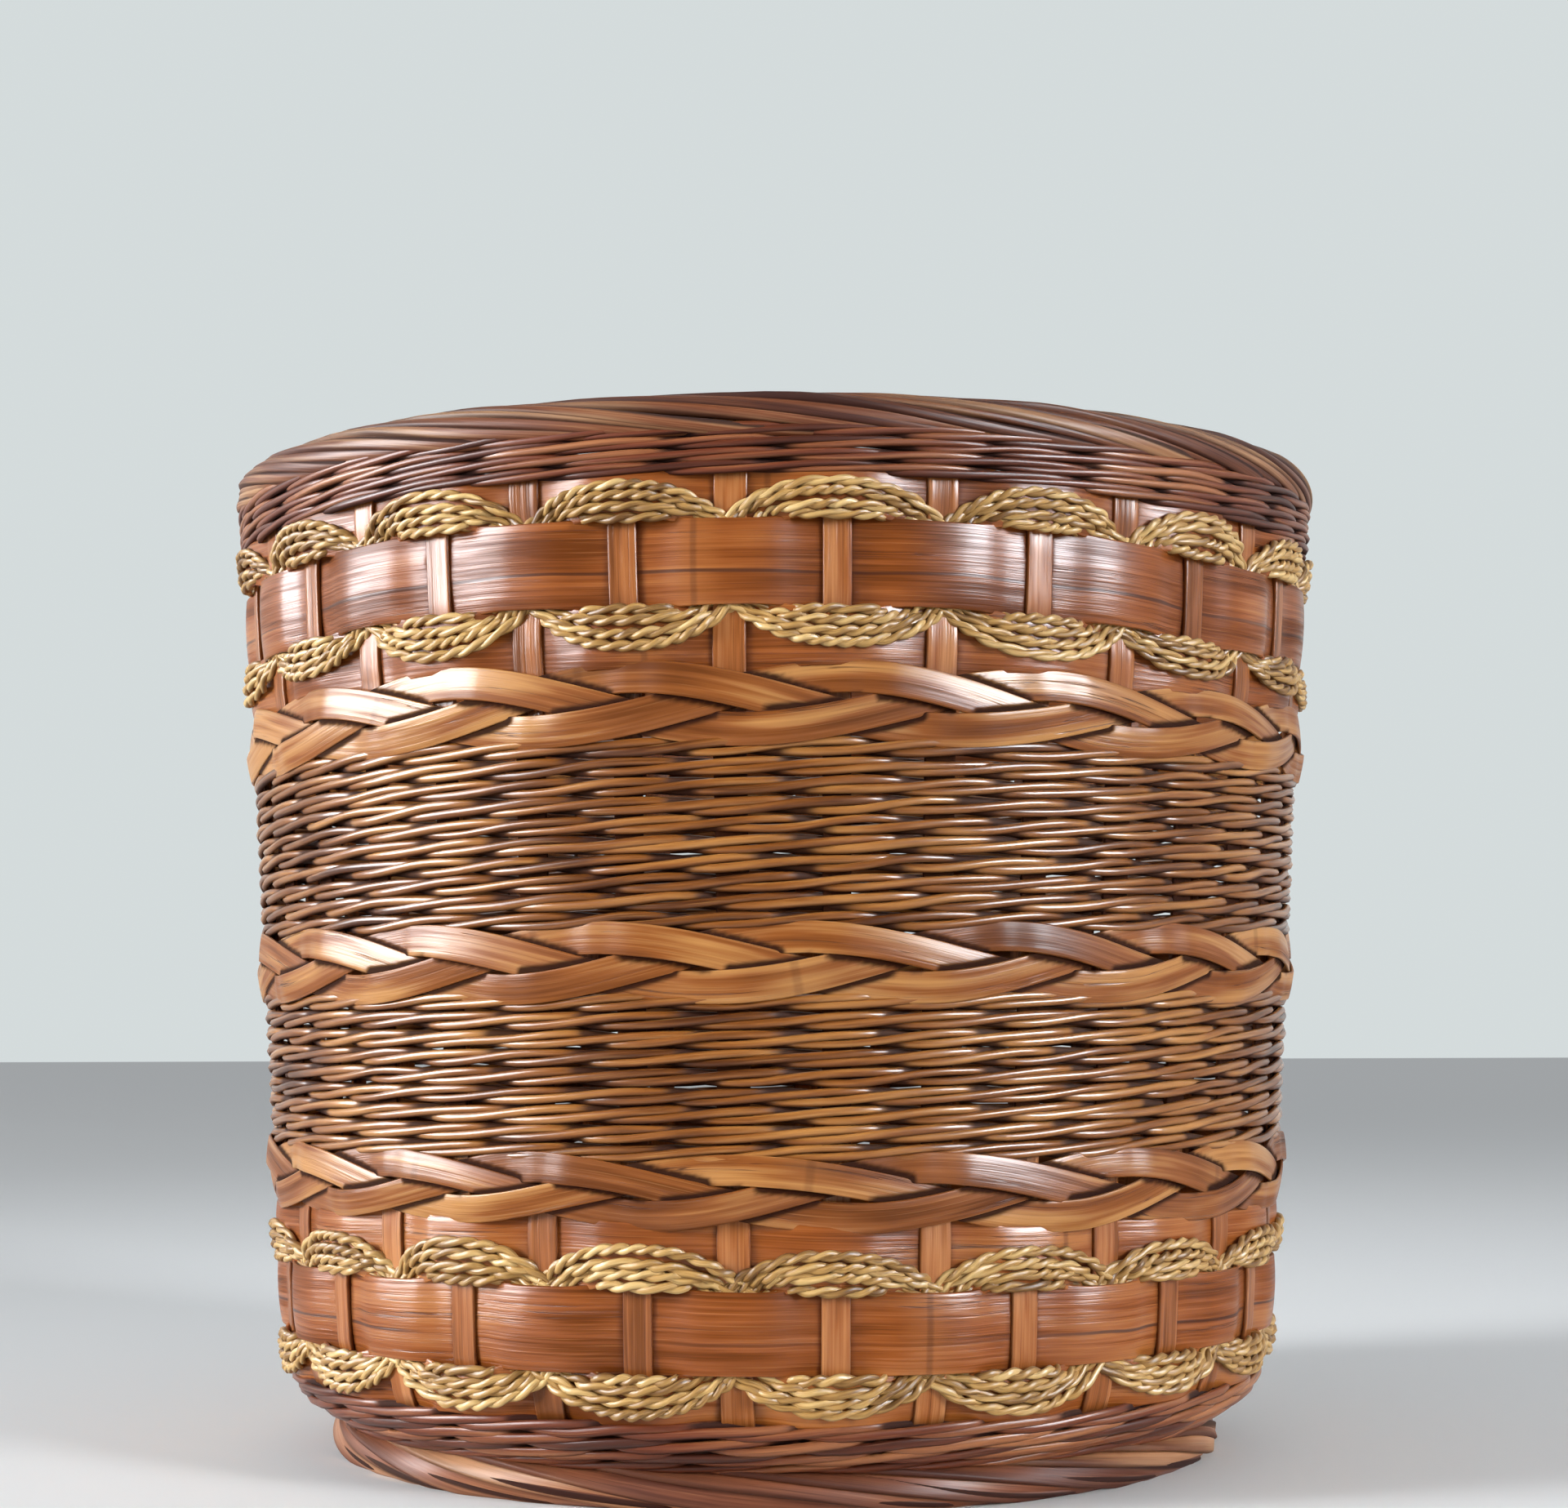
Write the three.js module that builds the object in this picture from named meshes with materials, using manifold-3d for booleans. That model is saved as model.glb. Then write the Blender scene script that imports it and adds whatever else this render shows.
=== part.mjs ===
// Round wicker cachepot: bamboo stakes, woven bands, plaits, twined reed and seagrass coils

import * as THREE from 'three';
import { mergeVertices } from 'three/addons/utils/BufferGeometryUtils.js';
import Module from 'manifold-3d';

// Sizes in millimetres, heights measured up from the table
const clearance = 0.3; // left between pieces that touch on the real basket
const stakeCount = 36; // flat uprights, every second one crosses over the wide bands
const stakeWidth = 6.8;
const stakeThickness = 1.0;
const firstStakeAngle = 6; // degrees from the front towards the right
const coneRadiusAtTable = 117.8; // where the sloping wall would meet the table
const wallFlareRatio = 0.06; // outward lean for the height
const footInset = 13.3; // from the cone at the table in to the stakes' lower ends
const heelInset = 4.8; // from the cone in to the stakes where they turn in under the pot
const heelRise = 4.6; // height of that turn above the lower edge of the dark bottom rows
const kneeInset = 2.0; // from the cone in to the stakes above the dark bottom rows

const footHeight = 9.4;
const bottomWalingHeight = 9.4;
const lowerHoopBottomWidth = 7.4;
const lowerBandWidth = 16.5;
const lowerHoopTopWidth = 9.4;
const lowerWickerHeight = 31.4;
const upperWickerHeight = 35.8;
const upperHoopBottomWidth = 8.2;
const upperBandWidth = 18.5;
const upperHoopTopWidth = 7.2;
const topWalingHeight = 7.8;
const rimHeight = 9.9;

const walingGap = 1.5; // between the foot and the dark rows above it
const courseGap = 0.4; // between one woven course and the next
const coilGap = 2.8; // slit above and below a wide band that the seagrass passes through

const bandThickness = 1.0;
const plaitStripWidth = 5.7;
const plaitStripThickness = 0.8;
const plaitEdgeRise = 5.4; // from the plait's middle line to a strip turning at its edge
const plaitLayerGap = 0.25;
const plaitStrandCount = 3;
const plaitColumnsPerWave = 6; // stakes that one strand passes on its way up, down and back
const reedThickness = 2.1;
const reedGroove = 1.0;
const wickerRowPitch = 4.0;
const walingRowPitch = 2.0;
const walingThickness = 2.2;
const coilThickness = 2.2;
const coilReach = 9.2; // how far a seagrass coil shows past the band's edge
const coilTaper = 1.0; // a coil is this much narrower on each side in front of the hoop than behind the band
const coilTopHalfWidth = 8.6;
const coilEyeHalfWidth = 3.6;

const rimWidth = 7.2;
const rimGrooveDepth = 4.6; // the stakes' upper ends stand this far up inside the rim
const rimRodRelief = 0.9;
const rimRodSteps = 8; // ridges and grooves over the rim's round side
const footWidth = 6.8;
const footGrooveDepth = 5.6;
const footRodRelief = 0.8;
const footRodSteps = 3;
const footFlatShare = 0.7; // of the foot's width that rests flat
const baseThickness = 2.6;
const baseRowPitch = 13;
const baseRowRelief = 0.6;

// Colours of the varnished materials
const bandBrown = { color: '#9c5a2c', roughness: 0.42 };
const stakeBrown = { color: '#94562f', roughness: 0.45 };
const plaitTan = { color: '#b57b47', roughness: 0.4 };
const reedGold = { color: '#a8692f', roughness: 0.42 };
const rimBrown = { color: '#63302a', roughness: 0.38 };
const seagrassStraw = { color: '#c39a52', roughness: 0.7 };

// Heights of the woven courses, stacked from the table up
function courseAbove(below, gap, height) {
  const bottom = below.top + gap;
  return { bottom, top: bottom + height, middle: bottom + height / 2 };
}

const plaitHeight = 2 * plaitEdgeRise + plaitStripWidth;
const foot = { bottom: 0, top: footHeight };
const bottomWaling = courseAbove(foot, walingGap, bottomWalingHeight);
const lowerHoopBottom = courseAbove(bottomWaling, courseGap, lowerHoopBottomWidth);
const lowerBand = courseAbove(lowerHoopBottom, coilGap, lowerBandWidth);
const lowerHoopTop = courseAbove(lowerBand, coilGap, lowerHoopTopWidth);
const lowerPlait = courseAbove(lowerHoopTop, courseGap, plaitHeight);
const lowerWicker = courseAbove(lowerPlait, courseGap, lowerWickerHeight);
const middlePlait = courseAbove(lowerWicker, courseGap, plaitHeight);
const upperWicker = courseAbove(middlePlait, courseGap, upperWickerHeight);
const upperPlait = courseAbove(upperWicker, courseGap, plaitHeight);
const upperHoopBottom = courseAbove(upperPlait, courseGap, upperHoopBottomWidth);
const upperBand = courseAbove(upperHoopBottom, coilGap, upperBandWidth);
const upperHoopTop = courseAbove(upperBand, coilGap, upperHoopTopWidth);
const topWaling = courseAbove(upperHoopTop, courseGap, topWalingHeight);
const rim = courseAbove(topWaling, courseGap, rimHeight);

// Middle line of a stake from its foot to the rim, as radius and height
const coneRadius = (height) => coneRadiusAtTable + wallFlareRatio * height;
const footStakeRadius = coneRadiusAtTable - footInset;
const kneeRadius = coneRadius(bottomWaling.top) - kneeInset;
const stakeFootHeight = foot.top - footGrooveDepth + clearance;
const stakeTopHeight = rim.bottom + rimGrooveDepth - clearance;
const wallStartHeight = lowerBand.bottom - clearance;
const heelHeight = bottomWaling.bottom + heelRise;
const stakePath = [
  [footStakeRadius, stakeFootHeight],
  [footStakeRadius, bottomWaling.bottom],
  [coneRadius(heelHeight) - heelInset, heelHeight],
  [kneeRadius, bottomWaling.top],
  [coneRadius(wallStartHeight), wallStartHeight],
  [coneRadius(stakeTopHeight), stakeTopHeight],
];

// Radius of the stakes' middle line at a height
function wallRadius(height) {
  const last = stakePath.length - 2;
  let step = 0;
  while (step < last && height > stakePath[step + 1][1]) {
    step += 1;
  }
  const [lowRadius, lowHeight] = stakePath[step];
  const [highRadius, highHeight] = stakePath[step + 1];
  return lowRadius + ((height - lowHeight) / (highHeight - lowHeight)) * (highRadius - lowRadius);
}

// Angles run from the front towards the right, in radians
const stakeStep = (2 * Math.PI) / stakeCount;
const stakeAngle = (index) => THREE.MathUtils.degToRad(firstStakeAngle) + index * stakeStep;
const isEven = (index) => ((index % 2) + 2) % 2 === 0;
const chordDrop = (stakeWidth / 2) * Math.tan(stakeStep / 2); // a ring's straight side at a stake's edge

function pointAt(angle, radius, height) {
  return [radius * Math.sin(angle), -radius * Math.cos(angle), height];
}

function indexedGeometry(positions, index) {
  const geometry = new THREE.BufferGeometry();
  geometry.setAttribute('position', new THREE.Float32BufferAttribute(positions.flat(), 3));
  geometry.setIndex(index);
  geometry.computeVertexNormals();
  return geometry;
}

// Two triangles over the corners a, b, c, d, which run anticlockwise seen from outside
function addQuad(index, a, b, c, d, risingRidge = true) {
  if (risingRidge) {
    index.push(a, b, c, a, c, d);
  } else {
    index.push(a, b, d, b, c, d);
  }
}

// Closed ring with one section over each stake; a section runs anticlockwise in radius and height
function ringGeometry(sectionAt, risingRidge = true) {
  const sections = Array.from({ length: stakeCount }, (_, column) => sectionAt(column));
  const size = sections[0].length;
  const positions = sections.flatMap((section, column) =>
    section.map(([radius, height]) => pointAt(stakeAngle(column), radius, height)));
  const index = [];
  for (let column = 0; column < stakeCount; column += 1) {
    const next = (column + 1) % stakeCount;
    for (let corner = 0; corner < size; corner += 1) {
      const after = (corner + 1) % size;
      addQuad(
        index,
        column * size + corner,
        next * size + corner,
        next * size + after,
        column * size + after,
        risingRidge,
      );
    }
  }
  return indexedGeometry(positions, index);
}

// Side outline of a stake, its path thickened evenly to both sides
function stakeOutline(thickness) {
  const path = stakePath.map(([radius, height]) => new THREE.Vector2(radius, height));
  const sides = path.map((point, i) => {
    const before = path[Math.max(i - 1, 0)];
    const after = path[Math.min(i + 1, path.length - 1)];
    const into = point.clone().sub(before).normalize();
    const onward = after.clone().sub(point).normalize();
    const along = into.clone().add(onward).normalize();
    const mitre = new THREE.Vector2(along.y, -along.x);
    const straight = i === 0 ? onward : into;
    const spread = thickness / 2 / Math.abs(mitre.cross(straight));
    return mitre.multiplyScalar(spread);
  });
  const outer = path.map((point, i) => point.clone().add(sides[i]));
  const inner = path.map((point, i) => point.clone().sub(sides[i]));
  return new THREE.Shape([...outer, ...inner.reverse()]);
}

// Flat bamboo upright at the front, standing in the plane of its side outline
function stakeGeometry(thickness, width) {
  const geometry = new THREE.ExtrudeGeometry(stakeOutline(thickness), {
    depth: width,
    bevelEnabled: false,
    steps: 1,
  });
  geometry.translate(0, 0, -width / 2);
  geometry.rotateX(Math.PI / 2);
  geometry.rotateZ(-Math.PI / 2);
  return geometry;
}

// How far a woven band's middle line swings out and in, so that it passes a stake's two edges
function weaveSwing(height) {
  const spacing = wallRadius(height) * stakeStep;
  const reachOfEdge = stakeWidth / 2 / spacing;
  const apart = (stakeThickness + bandThickness) / 2 + clearance;
  const total = (2 * apart) / (1 - 2 * reachOfEdge);
  return {
    outward: apart + chordDrop + reachOfEdge * total,
    inward: apart - chordDrop + reachOfEdge * total,
  };
}

// Middle line of a band at a stake: behind the stakes that cross over it, in front of the others
function bandRadius(height, passesBehind) {
  const swing = weaveSwing(height);
  return wallRadius(height) + (passesBehind ? -swing.inward : swing.outward);
}

// Flat bamboo band woven in and out of the stakes; a wide band goes behind the even stakes
function bandGeometry(course, behindEvenStakes) {
  const half = bandThickness / 2;
  return ringGeometry((column) => {
    const behind = isEven(column) === behindEvenStakes;
    const low = bandRadius(course.bottom, behind);
    const high = bandRadius(course.top, behind);
    return [
      [low - half, course.bottom],
      [low + half, course.bottom],
      [high + half, course.top],
      [high - half, course.top],
    ];
  });
}

// Radius on the straight side of a ring, at an angle past the column where its radius is start
function sideRadius(start, end, angle) {
  const reach = start * Math.sin(angle) + end * Math.sin(stakeStep - angle);
  return (start * end * Math.sin(stakeStep)) / reach;
}

// One quarter of a seagrass coil, as sections from the band's middle height up to its top
function coilSections(band, upward) {
  const half = bandThickness / 2;
  const edge = upward ? band.top : band.bottom;
  const direction = upward ? 1 : -1;
  const behindHeight = edge + direction * clearance;
  const frontHeight = edge + direction * (coilGap - clearance);
  const eyeHeight = edge + direction * (coilGap + clearance);
  const topHeight = edge + direction * coilReach;
  const angleOf = (width, height) => width / wallRadius(height);
  const sideInner = stakeWidth / 2 + 2 * clearance;
  const sideOuter = wallRadius(frontHeight) * stakeStep - sideInner;

  const behind = (width) => {
    const angle = angleOf(width, behindHeight);
    const hidden = bandRadius(behindHeight, true) - half;
    const shown = bandRadius(behindHeight, false) - half;
    const bandSide = sideRadius(hidden, shown, angle) - clearance;
    const stakeSide = wallRadius(behindHeight) - stakeThickness / 2 - clearance;
    const front = Math.min(bandSide, stakeSide);
    return { angle, height: behindHeight, back: front - coilThickness, front };
  };
  const inFront = (width) => {
    const angle = angleOf(width, frontHeight);
    const shown = bandRadius(frontHeight, false) + half;
    const hidden = bandRadius(frontHeight, true) + half;
    const back = sideRadius(shown, hidden, angle) + clearance;
    return { angle, height: frontHeight, back, front: back + coilThickness };
  };
  const onTop = (width, height) => {
    const angle = angleOf(width, height);
    const hoopRidge = bandRadius(height, false) + half + clearance;
    const back = hoopRidge / Math.cos(angle);
    return { angle, height, back, front: back + coilThickness };
  };
  return [
    [behind(sideOuter), behind(sideInner + coilTaper)],
    [inFront(sideOuter - coilTaper), inFront(sideInner)],
    [onTop(coilTopHalfWidth, topHeight), onTop(coilEyeHalfWidth, eyeHeight)],
  ];
}

// Seagrass coils wound over every even stake and passed on behind the odd ones, as one long cord
function coilsGeometry(band) {
  const upper = coilSections(band, true);
  const lower = coilSections(band, false);
  const mirror = (section) => section.map((spot) => ({ ...spot, angle: -spot.angle }));
  const loop = [
    ...upper,
    ...upper.map(mirror).reverse(),
    ...lower.map(mirror),
    ...lower.slice().reverse(),
  ];
  const cornersPerSection = 4;
  const coilSize = loop.length * cornersPerSection;
  const coilCount = stakeCount / 2;
  const leftSide = upper.length * 2 - 1;
  const rightSide = loop.length - 1;
  const positions = [];
  const index = [];
  for (let coil = 0; coil < coilCount; coil += 1) {
    const centre = stakeAngle(2 * coil);
    for (const [outer, inner] of loop) {
      positions.push(pointAt(centre + outer.angle, outer.back, outer.height));
      positions.push(pointAt(centre + outer.angle, outer.front, outer.height));
      positions.push(pointAt(centre + inner.angle, inner.front, inner.height));
      positions.push(pointAt(centre + inner.angle, inner.back, inner.height));
    }
    const corner = (coilIndex, section, place) =>
      ((coilIndex + coilCount) % coilCount) * coilSize
      + (section % loop.length) * cornersPerSection
      + (place % cornersPerSection);
    for (let section = 0; section < loop.length; section += 1) {
      for (let place = 0; place < cornersPerSection; place += 1) {
        const joinsNeighbour = place === 0 && (section === leftSide || section === rightSide);
        if (!joinsNeighbour) {
          addQuad(
            index,
            corner(coil, section, place),
            corner(coil, section + 1, place),
            corner(coil, section + 1, place + 1),
            corner(coil, section, place + 1),
          );
        }
      }
    }
    const rightBack = [corner(coil, rightSide, 0), corner(coil, 0, 0)];
    const rightFront = [corner(coil, rightSide, 1), corner(coil, 0, 1)];
    const nextBack = [corner(coil + 1, leftSide + 1, 0), corner(coil + 1, leftSide, 0)];
    const nextFront = [corner(coil + 1, leftSide + 1, 1), corner(coil + 1, leftSide, 1)];
    addQuad(index, rightFront[0], nextFront[0], nextFront[1], rightFront[1]);
    addQuad(index, rightBack[0], rightBack[1], nextBack[1], nextBack[0]);
    addQuad(index, rightBack[1], rightFront[1], nextFront[1], nextBack[1]);
    addQuad(index, rightBack[0], nextBack[0], nextFront[0], rightFront[0]);
  }
  return indexedGeometry(positions, index);
}

// One strip of a flat plait of three, which crosses over and under the other two
function plaitStrandGeometry(course, strand) {
  const strandShift = (strand * plaitColumnsPerWave) / plaitStrandCount;
  const heightSteps = [0, 1, 1, 0, -1, -1]; // middle, upper edge, middle, lower edge
  const layerSteps = [1, 0, 2, 1, 0, 2]; // a strip comes to the front as it turns at an edge
  const backFace = stakeThickness / 2 + clearance + chordDrop;
  return ringGeometry((column) => {
    const place = (column + strandShift) % plaitColumnsPerWave;
    const middle = course.middle + heightSteps[place] * plaitEdgeRise;
    const bottom = middle - plaitStripWidth / 2;
    const top = middle + plaitStripWidth / 2;
    const back = backFace + layerSteps[place] * (plaitStripThickness + plaitLayerGap);
    const front = back + plaitStripThickness;
    return [
      [wallRadius(bottom) + back, bottom],
      [wallRadius(bottom) + front, bottom],
      [wallRadius(top) + front, top],
      [wallRadius(top) + back, top],
    ];
  });
}

// Rows of rods on the outside of a ring, with ridges that rise to the right
function rodFace(course, rowPitch, column, crest, groove) {
  const rows = Math.round((course.top - course.bottom) / rowPitch);
  return Array.from({ length: rows + 1 }, (_, row) => {
    const height = course.bottom + ((course.top - course.bottom) * row) / rows;
    const isRidge = isEven(column + row);
    return [wallRadius(height) + (isRidge ? crest : groove), height];
  });
}

// Wall of twined reeds, in front of the stakes and behind them, with a slot for every stake
function wickerGeometry(course, wasm) {
  const crest = stakeThickness / 2 + clearance + reedThickness;
  const sleeve = ringGeometry((column) => [
    ...rodFace(course, wickerRowPitch, column, crest, crest - reedGroove),
    [wallRadius(course.top) - crest, course.top],
    [wallRadius(course.bottom) - crest, course.bottom],
  ]);
  let solid = solidOf(sleeve, wasm);
  for (let column = 0; column < stakeCount; column += 1) {
    const slot = stakeGeometry(stakeThickness + 2 * clearance, stakeWidth + 2 * clearance);
    slot.rotateZ(stakeAngle(column));
    solid = solid.subtract(solidOf(slot, wasm));
  }
  return geometryOf(solid);
}

// Straight sides of the stakes' path above the foot, each steeper than the one below it
const wallSides = stakePath.slice(1, -1).map(([radius, height], step) => {
  const [nextRadius, nextHeight] = stakePath[step + 2];
  const slope = (nextRadius - radius) / (nextHeight - height);
  return { radius, height, slope, lean: Math.hypot(1, slope) };
});

// Radius at a height of the line that runs outside the stakes' path at a distance square to it
function outsideRadius(height, distance) {
  const radii = wallSides.map((side) =>
    side.radius + side.slope * (height - side.height) + side.lean * distance);
  return Math.min(...radii);
}

// Heights between two others at which that line bends
function outsideBends(bottom, top, distance) {
  return wallSides.slice(1)
    .map((side, step) => {
      const below = wallSides[step];
      return side.height + (distance * (side.lean - below.lean)) / (below.slope - side.slope);
    })
    .filter((height) => height > bottom && height < top);
}

// Dark rows of thin rods laid against the outside of the stakes
function walingGeometry(course) {
  const back = stakeThickness / 2 + clearance;
  const crest = back + walingThickness;
  const rows = Math.round((course.top - course.bottom) / walingRowPitch);
  const rowHeights = Array.from({ length: rows + 1 }, (_, row) =>
    course.bottom + ((course.top - course.bottom) * row) / rows);
  const bends = outsideBends(course.bottom, course.top, back);
  const backHeights = [course.top, ...bends.reverse(), course.bottom];
  return ringGeometry((column) => [
    ...rowHeights.map((height, row) => {
      const distance = isEven(column + row) ? crest : crest - reedGroove;
      return [outsideRadius(height, distance) + chordDrop, height];
    }),
    ...backHeights.map((height) => [outsideRadius(height, back) + chordDrop, height]),
  ]);
}

// Arc of laid rods around a border's middle, from startAngle to endAngle in degrees
function rodArc(course, centre, width, column, steps, startAngle, endAngle, relief) {
  const middle = (course.bottom + course.top) / 2;
  const rise = (course.top - course.bottom) / 2;
  return Array.from({ length: steps }, (_, step) => {
    const turn = startAngle + ((endAngle - startAngle) * step) / (steps - 1);
    const angle = THREE.MathUtils.degToRad(turn);
    const isRidge = isEven(column + step);
    const inset = isRidge ? 0 : relief;
    return [
      centre + (width / 2 - inset) * Math.cos(angle),
      middle + (rise - inset) * Math.sin(angle),
    ];
  });
}

// Rim of overlapping rods that slope down to the right, grooved below for the stakes' ends
function rimGeometry() {
  const grooveHalf = stakeThickness / 2 + clearance + chordDrop;
  const grooveTop = rim.bottom + rimGrooveDepth;
  const centre = wallRadius(rim.bottom);
  const grooveLean = wallRadius(grooveTop) - centre;
  return ringGeometry((column) => [
    [centre + grooveHalf, rim.bottom],
    ...rodArc(rim, centre, rimWidth, column, rimRodSteps, -50, 230, rimRodRelief),
    [centre - grooveHalf, rim.bottom],
    [centre - grooveHalf + grooveLean, grooveTop],
    [centre + grooveHalf + grooveLean, grooveTop],
  ], false);
}

// Foot of laid rods under the pot, flat below and grooved above for the stakes' ends
function footGeometry() {
  const grooveHalf = stakeThickness / 2 + clearance + chordDrop;
  const grooveBottom = foot.top - footGrooveDepth;
  const half = footWidth / 2;
  return ringGeometry((column) => {
    const outerRods = rodArc(foot, footStakeRadius, footWidth, column, footRodSteps, -35, 50, footRodRelief);
    const innerRods = rodArc(foot, footStakeRadius, footWidth, column, footRodSteps, 130, 215, footRodRelief);
    return [
      [footStakeRadius - half * footFlatShare, foot.bottom],
      [footStakeRadius + half * footFlatShare, foot.bottom],
      ...outerRods,
      [footStakeRadius + grooveHalf, foot.top],
      [footStakeRadius + grooveHalf, grooveBottom],
      [footStakeRadius - grooveHalf, grooveBottom],
      [footStakeRadius - grooveHalf, foot.top],
      ...innerRods,
    ];
  }, false);
}

// Woven base as a thin disc with rings of rods on it, which lies on the foot's inner edge
function baseGeometry() {
  const bottom = foot.top + clearance;
  const top = bottom + baseThickness;
  const radius = footStakeRadius - stakeThickness / 2 - 2 * clearance;
  const rows = Math.floor(radius / baseRowPitch);
  const profile = [new THREE.Vector2(0, bottom), new THREE.Vector2(radius, bottom)];
  for (let row = rows; row >= 1; row -= 1) {
    const rowRadius = row === rows ? radius : row * baseRowPitch;
    profile.push(new THREE.Vector2(rowRadius, isEven(row) ? top : top - baseRowRelief));
  }
  profile.push(new THREE.Vector2(0, profile[profile.length - 1].y));
  const geometry = new THREE.LatheGeometry(profile, stakeCount);
  geometry.rotateX(Math.PI / 2);
  return geometry;
}

// Closed geometry to solid and back, for the slots
function solidOf(geometry, wasm) {
  const bare = geometry.clone();
  bare.deleteAttribute('normal');
  bare.deleteAttribute('uv');
  const merged = mergeVertices(bare);
  return new wasm.Manifold(new wasm.Mesh({
    numProp: 3,
    vertProperties: new Float32Array(merged.attributes.position.array),
    triVerts: new Uint32Array(merged.index.array),
  }));
}

function geometryOf(solid) {
  const mesh = solid.getMesh();
  const geometry = new THREE.BufferGeometry();
  geometry.setAttribute('position', new THREE.BufferAttribute(mesh.vertProperties, 3));
  geometry.setIndex(new THREE.BufferAttribute(mesh.triVerts, 1));
  geometry.computeVertexNormals();
  return geometry;
}

const wasm = await Module();
wasm.setup();

const pot = new THREE.Group();
pot.name = 'wicker_cachepot';

function addPiece(name, geometry, look) {
  const material = new THREE.MeshStandardMaterial({ ...look, metalness: 0 });
  const mesh = new THREE.Mesh(geometry, material);
  mesh.name = name;
  pot.add(mesh);
  return mesh;
}

for (let column = 0; column < stakeCount; column += 1) {
  const name = `stake_${String(column + 1).padStart(2, '0')}`;
  const stake = addPiece(name, stakeGeometry(stakeThickness, stakeWidth), stakeBrown);
  stake.rotation.z = stakeAngle(column);
}

addPiece('foot_border', footGeometry(), rimBrown);
addPiece('base_mat', baseGeometry(), stakeBrown);
addPiece('bottom_waling', walingGeometry(bottomWaling), rimBrown);
addPiece('lower_hoop_bottom', bandGeometry(lowerHoopBottom, false), bandBrown);
addPiece('lower_wide_band', bandGeometry(lowerBand, true), bandBrown);
addPiece('lower_hoop_top', bandGeometry(lowerHoopTop, false), bandBrown);
addPiece('lower_seagrass_coils', coilsGeometry(lowerBand), seagrassStraw);
addPiece('lower_wicker', wickerGeometry(lowerWicker, wasm), reedGold);
addPiece('upper_wicker', wickerGeometry(upperWicker, wasm), reedGold);
addPiece('upper_hoop_bottom', bandGeometry(upperHoopBottom, false), bandBrown);
addPiece('upper_wide_band', bandGeometry(upperBand, true), bandBrown);
addPiece('upper_hoop_top', bandGeometry(upperHoopTop, false), bandBrown);
addPiece('upper_seagrass_coils', coilsGeometry(upperBand), seagrassStraw);
addPiece('top_waling', walingGeometry(topWaling), rimBrown);
addPiece('rim_border', rimGeometry(), rimBrown);

const plaits = { lower_plait: lowerPlait, middle_plait: middlePlait, upper_plait: upperPlait };
for (const [plaitName, course] of Object.entries(plaits)) {
  for (let strand = 0; strand < plaitStrandCount; strand += 1) {
    addPiece(`${plaitName}_strand_${strand + 1}`, plaitStrandGeometry(course, strand), plaitTan);
  }
}

export default pot;
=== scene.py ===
# Wicker cachepot: every splint, reed, rod and twisted cord is swept as a strand of its own
import math
import bpy
import numpy as np
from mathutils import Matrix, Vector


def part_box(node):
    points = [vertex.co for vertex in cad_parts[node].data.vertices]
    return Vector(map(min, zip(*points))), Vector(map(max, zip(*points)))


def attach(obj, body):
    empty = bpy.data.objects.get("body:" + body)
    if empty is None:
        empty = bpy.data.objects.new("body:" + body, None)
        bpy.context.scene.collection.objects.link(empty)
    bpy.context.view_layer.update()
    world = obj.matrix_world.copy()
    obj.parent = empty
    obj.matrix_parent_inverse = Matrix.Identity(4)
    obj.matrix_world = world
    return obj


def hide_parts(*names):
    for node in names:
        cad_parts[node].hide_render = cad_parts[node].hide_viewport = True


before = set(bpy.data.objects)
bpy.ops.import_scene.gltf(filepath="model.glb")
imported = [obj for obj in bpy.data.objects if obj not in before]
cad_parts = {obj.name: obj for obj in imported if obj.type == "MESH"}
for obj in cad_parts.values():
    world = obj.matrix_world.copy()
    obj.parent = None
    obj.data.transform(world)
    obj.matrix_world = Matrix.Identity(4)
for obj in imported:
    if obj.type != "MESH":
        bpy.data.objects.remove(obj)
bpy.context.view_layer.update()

mm = 0.001
fullTurn = 2 * math.pi
random = np.random.default_rng(36)


# The weave's layout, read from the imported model
weave = {
    "uprights": 36, "firstUpright": "stake_01",
    "wallSpan": (-20 * mm, 260 * mm),  # heights over which the wall's line is kept
    "wallStep": 0.25 * mm,
    "wallSoftening": 1.6 * mm,  # how softly the wall turns at its knees
    "softeningSteps": 12,  # to each side
}


def nodePoints(name):
    return np.array([vertex.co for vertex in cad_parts[name].data.vertices], float)


def angleOf(points):  # from the front towards the right
    middle = points.mean(0)
    return math.atan2(middle[0], -middle[1])


def readWall():  # the uprights' middle line, from the corners of the first one
    points = nodePoints(weave["firstUpright"])
    angle = angleOf(points)
    outward = points[:, 0] * math.sin(angle) - points[:, 1] * math.cos(angle)
    corners = np.unique(np.round(np.stack([points[:, 2], outward], -1), 6), axis=0)
    pairs = corners.reshape(-1, 2, 2).mean(1)
    step, sideSteps = weave["wallStep"], weave["softeningSteps"]
    heights = np.arange(*weave["wallSpan"], step)
    radii = np.interp(heights, pairs[:, 0], pairs[:, 1])
    reach = np.arange(-sideSteps, sideSteps + 1) * step
    bell = np.exp(-0.5 * (reach / weave["wallSoftening"]) ** 2)
    soft = np.convolve(np.pad(radii, sideSteps, mode="edge"), bell / bell.sum(), mode="valid")
    return angle, heights, soft, np.gradient(soft, heights)


firstAngle, wallHeights, wallRadii, wallSlopes = readWall()
uprightStep = fullTurn / weave["uprights"]


def loopTurns(samples, shift=0.0):  # angles once round, from an upright at the back
    return firstAngle + math.pi + shift + np.arange(samples) * fullTurn / samples


def wallRadius(height):
    return np.interp(height, wallHeights, wallRadii)


def heightsOf(name):
    low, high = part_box(name)
    return low.z, high.z


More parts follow.
